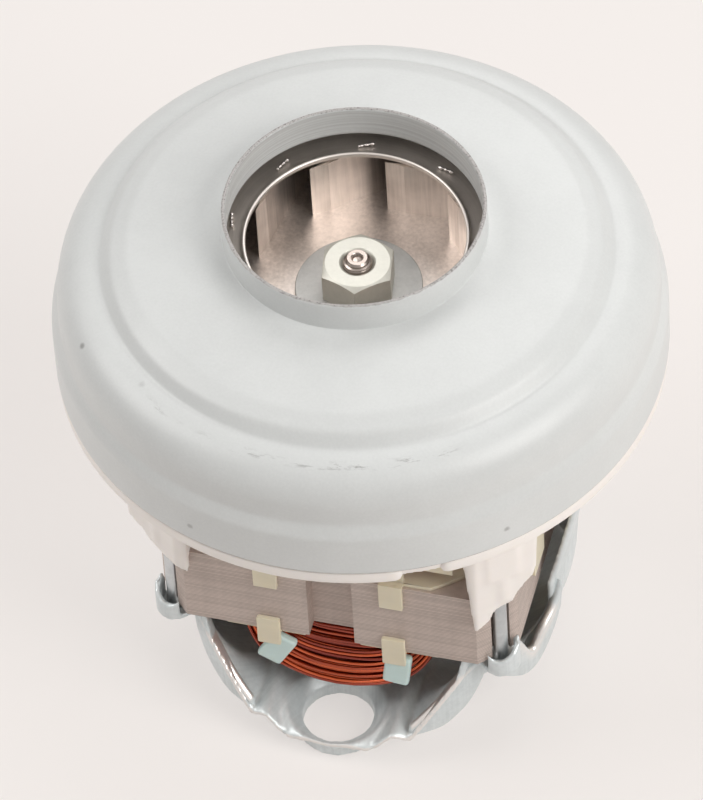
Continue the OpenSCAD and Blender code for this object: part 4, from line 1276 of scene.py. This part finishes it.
@dataclass
class ArmatureWinding(Part):
    """The rotor's winding: wires climb out of a slot, lean round the shaft and drop into a slot across."""

    slots: int = 22
    turns: int = 13
    span: float = 163.6
    wire: float = 0.78
    outer_r: float = 19.9
    inner_r: Pair = (6.8, 18.6)
    # Random parts of a wire's angle and of its share of the turns
    spread: Pair = (8.2, 0.9)
    # Shares of the rise: what the first coil reaches, what the last adds, and a random part
    level: Triple = (0.82, 0.14, 0.04)
    # Where the lean begins, and its power
    lean: Pair = (0.33, 1.3)
    # The dip into the slots as a share of the rise, and its power
    dip: Pair = (0.08, 8)
    slot_r: float = 17.8
    slot_half: float = 1.0
    slot_wires: int = 5
    core_z: Pair = (33.8, 57.8)
    steps: int = 44
    sides: int = 6

    def end_turns(self, start: float, end: float, seed: int) -> Tuple[np.ndarray, np.ndarray]:
        """The turns at one end of the core; later coils lie on earlier ones.

        With u the sine of the share of the way, the height is 1 - (1 - 2u)^2 of the rise until u is a half,
        and the radius falls from the slots' to the wire's own inner radius once u has passed a third.

        Args:
            start: the height of the core's end.
            end: the height that the wires reach.
            seed: of the small differences between the wires.

        Returns:
            Wires by points by 3, and the angle at each point.
        """
        chance = np.random.default_rng(seed)
        slot, turn = (number[:, None] for number in flat_grid(self.slots, self.turns))
        t = np.linspace(0, 1, self.steps)[None, :]
        u = np.sin(np.pi * t)
        aside, apart = self.spread
        off = chance.uniform(-aside, aside, slot.shape)
        a = np.radians(slot * 360 / self.slots + self.span * t + off)
        share = (turn + chance.uniform(0.0, apart, slot.shape)) / self.turns
        inner = self.inner_r[0] + (self.inner_r[1] - self.inner_r[0]) * share
        begin, power = self.lean
        r = self.outer_r - (self.outer_r - inner) * np.clip((u - begin) / (1 - begin), 0, 1) ** power
        base, more, loose = self.level
        level = base + more * slot / self.slots + chance.uniform(0.0, loose, slot.shape)
        dip, power = self.dip
        climb = level * (1 - (1 - np.clip(2 * u, 0, 1)) ** 2) - dip * (1 - u) ** power
        return np.stack([r * np.cos(a), r * np.sin(a), start + (end - start) * climb], -1), a

    def in_slots(self) -> np.ndarray:
        """Straight wires in a ring in each slot.

        Returns:
            Wires by 2 points by 3.
        """
        mid = np.radians(np.arange(self.slots) * 360 / self.slots)[:, None]
        ring = np.radians(np.arange(self.slot_wires) * (360 / self.slot_wires))[None, :]
        r, aside = self.slot_r + self.slot_half * np.cos(ring), self.slot_half * np.sin(ring)
        x = (r * np.cos(mid) - aside * np.sin(mid)).ravel()
        y = (r * np.sin(mid) + aside * np.cos(mid)).ravel()
        return np.stack([np.stack([x, y, np.full_like(x, z)], -1) for z in self.core_z], 1)

    def build(self) -> List[Object]:
        """Winds the end turns above and below the core, and the wires in the slots; see Part."""
        low, high = (corner.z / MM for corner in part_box("armature_winding"))
        half, made = self.wire / 2, []
        for name, start, end, seed in (("end_turns_top", self.core_z[1], high - half, 21),
                                       ("end_turns_low", self.core_z[0], low + half, 22)):
            paths, a = self.end_turns(start, end, seed)
            outward = np.stack([np.cos(a), np.sin(a), np.zeros_like(a)], -1)
            own = np.random.default_rng(seed).uniform(0, 1, len(paths))
            made.append(tubes(name, paths * MM, half * MM, self.sides, outward, own, closed=False))
        wires = self.in_slots() * MM
        own = np.zeros(len(wires))
        made.append(tubes("slot_wires", wires, half * MM, self.sides, (1, 0, 0), own, closed=False))
        for obj, node in zip(made, ("armature_winding", None, None)):
            self.put(obj, "copper_wire", "copper_wire", "rotor", node)
        return made


@dataclass
class BrushSprings(Part):
    """The springs behind the carbon brushes: helices of wound wire."""

    wire: float = 0.7
    turns: float = 6.0
    travel: float = 5.0
    taper: float = 0.004
    steps: int = 240

    def build(self) -> List[Object]:
        """Winds both springs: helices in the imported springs' boxes, held at the end caps; see Part."""
        made, half = [], self.wire / 2
        share = np.linspace(0, 1, self.steps)
        a = FULL_TURN * self.turns * share
        fat = half * tapered(share, self.taper)
        for side in ("left", "right"):
            low, high = (np.array(corner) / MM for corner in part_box(f"brush_spring_{side}"))
            length, (_, y, z) = high[0] - low[0], (low + high) / 2
            r = (high[1] - low[1]) / 2 - half
            x = low[0] + half + (length - self.wire) * share
            path = np.stack([x, y + r * np.cos(a), z + r * np.sin(a)], -1)[None]
            obj = tubes(f"wound_spring_{side}", path * MM, fat[None] * MM, 10, (1, 0, 0), closed=False)
            self.put(obj, "bearing_steel", "bearing_steel", "motor_body", f"brush_spring_{side}")
            made.append(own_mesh(obj))
        return made


@dataclass
class CoilClips(Part):
    """Pale clips that hold the end turns under the lower tabs; left and right hang at their own tilt."""

    size: Triple = (6.4, 2.4, 10.2)
    left: Triple = (-13.9, -39.5, 26.4)
    right: Triple = (15.6, -39.5, 26.2)
    left_tilt: float = 28.0
    right_tilt: float = 7.0
    edge: float = 0.8

    def build(self) -> List[Object]:
        """Builds the four clips; see Part."""
        made = []
        for end, half_turn in (("front", 0.0), ("rear", math.pi)):
            for side, where, tilt in (("left", self.left, self.left_tilt),
                                      ("right", self.right, self.right_tilt)):
                place = (Matrix.Rotation(half_turn, 4, "Z") @ Matrix.Translation(Vector(where) * MM)
                         @ Matrix.Rotation(math.radians(tilt), 4, "Y"))
                obj = block(f"clip_{end}_{side}", scaled(self.size, MM), place)
                eased(obj, self.edge * MM, 2)
                node = None if made else "coil_clips"
                made.append(self.put(obj, "clip_plastic", "clip_plastic", "motor_body", node))
        return made


@dataclass
class Bracket(Part):
    """The pressed bracket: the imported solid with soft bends, and the skirts beside its windows and its arm.

    A hump is its place, width and height. An edge has rows of angle, lower height and upper height.
    """

    cell: float = 0.62
    passes: int = 6
    ridge: Triple = (15.6, 3.0, 2.0)
    ridge_start: Pair = (22.0, 33.0)
    seat_y: float = 39.2
    seat: Triple = (12.0, 1.4, 1.1)
    entry: Triple = (8.6, 1.5, -1.4)
    relief_z: Tuple[float, float, float, float] = (2.5, 4.0, 10.0, 12.5)
    skirt_t: float = 1.5
    hem_t: float = 2.3
    end_a: float = 0.8
    skirt_steps: int = 80
    skirt_soft: int = 6
    hem_steps: int = 7
    bend: Pair = (22.0, 29.0)
    bend_at: float = 27.0
    window_r: float = 48.9
    window_edge: Tuple[Triple, ...] = (
        (-67.0, 8.6, 10.0), (-57.0, 9.8, 19.0), (-52.7, 12.8, 23.6), (-48.5, 16.1, 27.0),
        (-44.0, 24.0, 28.8))
    arm_r: Pair = (49.3, 48.0)
    arm_edge: Tuple[Triple, ...] = (
        (-41.5, 22.0, 28.0), (-36.0, 17.5, 29.0), (-31.0, 13.8, 29.0), (-28.8, 13.2, 17.5),
        (-26.6, 13.4, 16.5), (-24.6, 13.8, 22.0), (-21.0, 16.5, 24.8), (-17.0, 19.5, 25.4),
        (-14.0, 23.0, 29.5), (-12.0, 26.0, 33.0))

    def press(self, obj: Object) -> None:
        """Deepens the floor's relief: ridges beside the channels, a ring and a round entry at each hole.

        Each is a hump, and both faces of the sheet move together.

        Args:
            obj: the bracket's relaxed copy.
        """
        points = np.empty(3 * len(obj.data.vertices), np.float32)
        obj.data.vertices.foreach_get("co", points)
        points = points.reshape(-1, 3)
        x, y, z = np.abs(points / MM).T
        away = np.hypot(x, y - self.seat_y)
        rise = hump(x, self.ridge) * np.interp(y, self.ridge_start, (0.0, 1.0))
        rise = rise + (hump(away, self.seat) + hump(away, self.entry))
        points[:, 2] += rise * np.interp(z, self.relief_z, (0.0, 1.0, 1.0, 0.0)) * MM
        obj.data.vertices.foreach_set("co", points.ravel())
        obj.data.update()

    def skirt(self, name: str, r: float, edge: Sequence[Triple], flip: Tuple[int, int],
              foot: bool = False) -> Object:
        """A skirt: an upright strip of the bowl's wall with a thick hem, thinned to nothing at its ends.

        Args:
            name: the piece's name.
            r: its radius.
            edge: its lower and upper edge.
            flip: signs for x and y that place it on its side.
            foot: whether its lower edge reaches in to the bowl's round bend.

        Returns:
            The piece.
        """
        turn, low, top = np.array(edge).T
        angle = np.linspace(turn[0], turn[-1], self.skirt_steps)
        low, top = (softened(np.interp(angle, turn, z)[:, None], self.skirt_soft) for z in (low, top))
        close = round_end(np.minimum(angle - angle[0], angle[-1] - angle)[:, None], self.end_a)
        half, hem = self.skirt_t / 2 * close, self.hem_t / 2 * close
        inner = half
        if foot:
            bend_r, bend_z = self.bend
            bowl = r - self.bend_at - np.sqrt(bend_r ** 2 - (bend_z - low) ** 2) + self.skirt_t / 3
            inner = np.maximum(bowl * close, half)
        roll = np.linspace(0, np.pi, self.hem_steps)[None, :]
        lower = np.where(np.cos(roll) > 0, inner, half)
        out = np.concatenate([hem * np.cos(roll), -lower * np.cos(roll)], 1)
        z = np.concatenate([top + hem * np.sin(roll), low - half * np.sin(roll)], 1)
        a = np.radians(angle)[:, None]
        points = np.stack([flip[0] * (r + out) * np.cos(a), flip[1] * (r + out) * np.sin(a), z], -1)
        faces = quads(*out.shape, False, True)
        obj = mesh_object(name, points * MM, faces if flip[0] * flip[1] > 0 else faces[:, ::-1], 60.0)
        return self.put(obj, "pressed_zinc", "zinc_steel", "motor_body")

    def build(self) -> List[Object]:
        """Builds the bracket and its skirts; see Part."""
        obj = relaxed_copy("motor_bracket", "pressed_bracket", self.cell * MM, self.passes)
        self.press(obj)
        made = [self.put(obj, "pressed_zinc", "zinc_steel", "motor_body", "motor_bracket")]
        ends = {"front": 1, "rear": -1}
        for end, y in ends.items():
            for side, x in (("right", 1), ("left", -1)):
                name = f"window_skirt_{end}_{side}"
                made.append(self.skirt(name, self.window_r, self.window_edge, (x, y)))
        for (end, y), r in zip(ends.items(), self.arm_r):
            made.append(self.skirt(f"arm_skirt_{end}", r, self.arm_edge, (1, y), True))
        return made


@dataclass
class DiffuserFrame(Part):
    """The white frame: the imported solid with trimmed, rounded legs, and the bar under the cover's rim.

    An edge of a leg has rows of distance from the leg's corner and height.
    """

    cell: float = 0.72
    passes: int = 4
    leg_corner: Triple = (36.5, -42.7, 0.0)
    leg_side: Triple = (51.0, -32.0, 0.0)
    right_edge: Tuple[Pair, ...] = ((3.9, 50.9), (4.6, 54.8), (9.8, 56.2), (11.1, 59.1), (15.6, 64.4),
                                    (16.4, 76.0), (17.4, 86.0), (24.0, 86.5))
    left_edge: Tuple[Pair, ...] = ((-9.0, 51.6), (-4.0, 52.0), (0.0, 54.2), (6.2, 54.6), (24.0, 56.4))
    slant: Tuple[Pair, ...] = ((31.0, 44.0), (36.2, 44.0), (33.5, 76.0), (31.0, 76.0))
    slant_y: Pair = (-48.0, -34.0)
    cut_low: float = 35.0
    cut_half: float = 9.0
    pad_s: Pair = (3.0, 11.5)
    pad_n: Pair = (-0.35, 0.45)
    pad_z: Pair = (66.0, 96.6)
    rim_r: float = 70.4
    rim_z: float = 97.2
    rim_half: Pair = (1.4, 1.9)
    rim_a: Pair = (-61.5, 292.0)
    rim_end_a: float = 2.0
    rim_steps: Tuple[int, int] = (420, 24)

    def leg(self) -> Tuple[np.ndarray, np.ndarray, np.ndarray]:
        """The plan of the front right leg's slanted side.

        Returns:
            Its corner, the direction along it and the direction across it, into the leg.
        """
        corner, side = np.array(self.leg_corner), np.array(self.leg_side)
        along = (side - corner) / np.linalg.norm(side - corner)
        return corner, along, np.array([-along[1], along[0], 0.0])

    def cutter(self) -> Object:
        """The waste below the legs: bars across each leg's slanted side, with the wanted edge as their top.

        Returns:
            The waste.
        """
        corner, along, across = self.leg()
        across = across * self.cut_half
        rings = []
        for edge, sign in ((self.right_edge, 1), (self.left_edge, -1)):
            s, z = np.array(edge).T[:, :, None]
            top = corner + s * along + z * np.array([0, 0, 1.0])
            low = top * [1, 1, 0] + [0, 0, self.cut_low]
            ring = np.stack([top - across, low - across, low + across, top + across], 1)
            rings.append(ring * [sign, 1, 1])
        rings.append(np.array([[[x, y, z] for x, z in self.slant] for y in self.slant_y]))
        return bars("leg_waste", [ring * [side * MM, side * MM, MM] for ring in rings for side in (1, -1)])

    def filler(self) -> Object:
        """Thin pads over the places where the screw heads' seats break through the legs' slanted sides.

        Returns:
            The pads.
        """
        corner, along, across = self.leg()
        (n0, n1), (low, high) = self.pad_n, self.pad_z
        spot = [[n0, low], [n1, low], [n1, high], [n0, high]]
        ring = np.array([[corner + s * along - n * across + [0, 0, z] for n, z in spot]
                         for s in self.pad_s])
        signs = [(1, 1), (-1, 1), (1, -1), (-1, -1)]
        return bars("seat_pads", [ring * [x * MM, y * MM, MM] for x, y in signs])

    def rim(self) -> Object:
        """The bar under the cover's rim, with rounded ends at the notch: its section shrinks at the ends.

        Returns:
            The bar.
        """
        steps, sides = self.rim_steps
        a = np.radians(np.linspace(*self.rim_a, steps))[:, None]
        close = round_end(np.minimum(a - a[0], a[-1] - a), math.radians(self.rim_end_a))
        turn = np.linspace(0, FULL_TURN, sides, endpoint=False)[None, :]
        r = self.rim_r + self.rim_half[0] * close * signed_power(np.cos(turn), 0.5)
        z = self.rim_z + self.rim_half[1] * close * signed_power(np.sin(turn), 0.5)
        points = np.stack([r * np.cos(a), r * np.sin(a), z], -1)
        return mesh_object("flange_rim", points * MM, quads(steps, sides, False, True), 60.0)

    def build(self) -> List[Object]:
        """Builds the frame and its rim; see Part."""
        obj = relaxed_copy("diffuser_frame", "frame_moulding", self.cell * MM, self.passes, self.cutter(),
                           self.filler())
        return [self.put(obj, "white_plastic", "white_plastic", "motor_body", "diffuser_frame"),
                self.put(self.rim(), "white_plastic", "white_plastic", "motor_body")]


PARTS = (FanCover, Impeller, FieldCoils, ArmatureWinding, BrushSprings, CoilClips, Bracket, DiffuserFrame)


def main() -> None:
    """Builds the studio, dresses the solids and adds the pieces, in order."""
    logging.basicConfig(level=logging.INFO, format="%(name)s: %(message)s")
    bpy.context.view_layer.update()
    Studio().build()
    shop = Shop()
    shop.dress_nodes()
    for part in PARTS:
        for obj in part(shop).build():
            log.info("%s: %d faces", obj.name, len(obj.data.polygons))


if __name__ == "__main__":
    main()
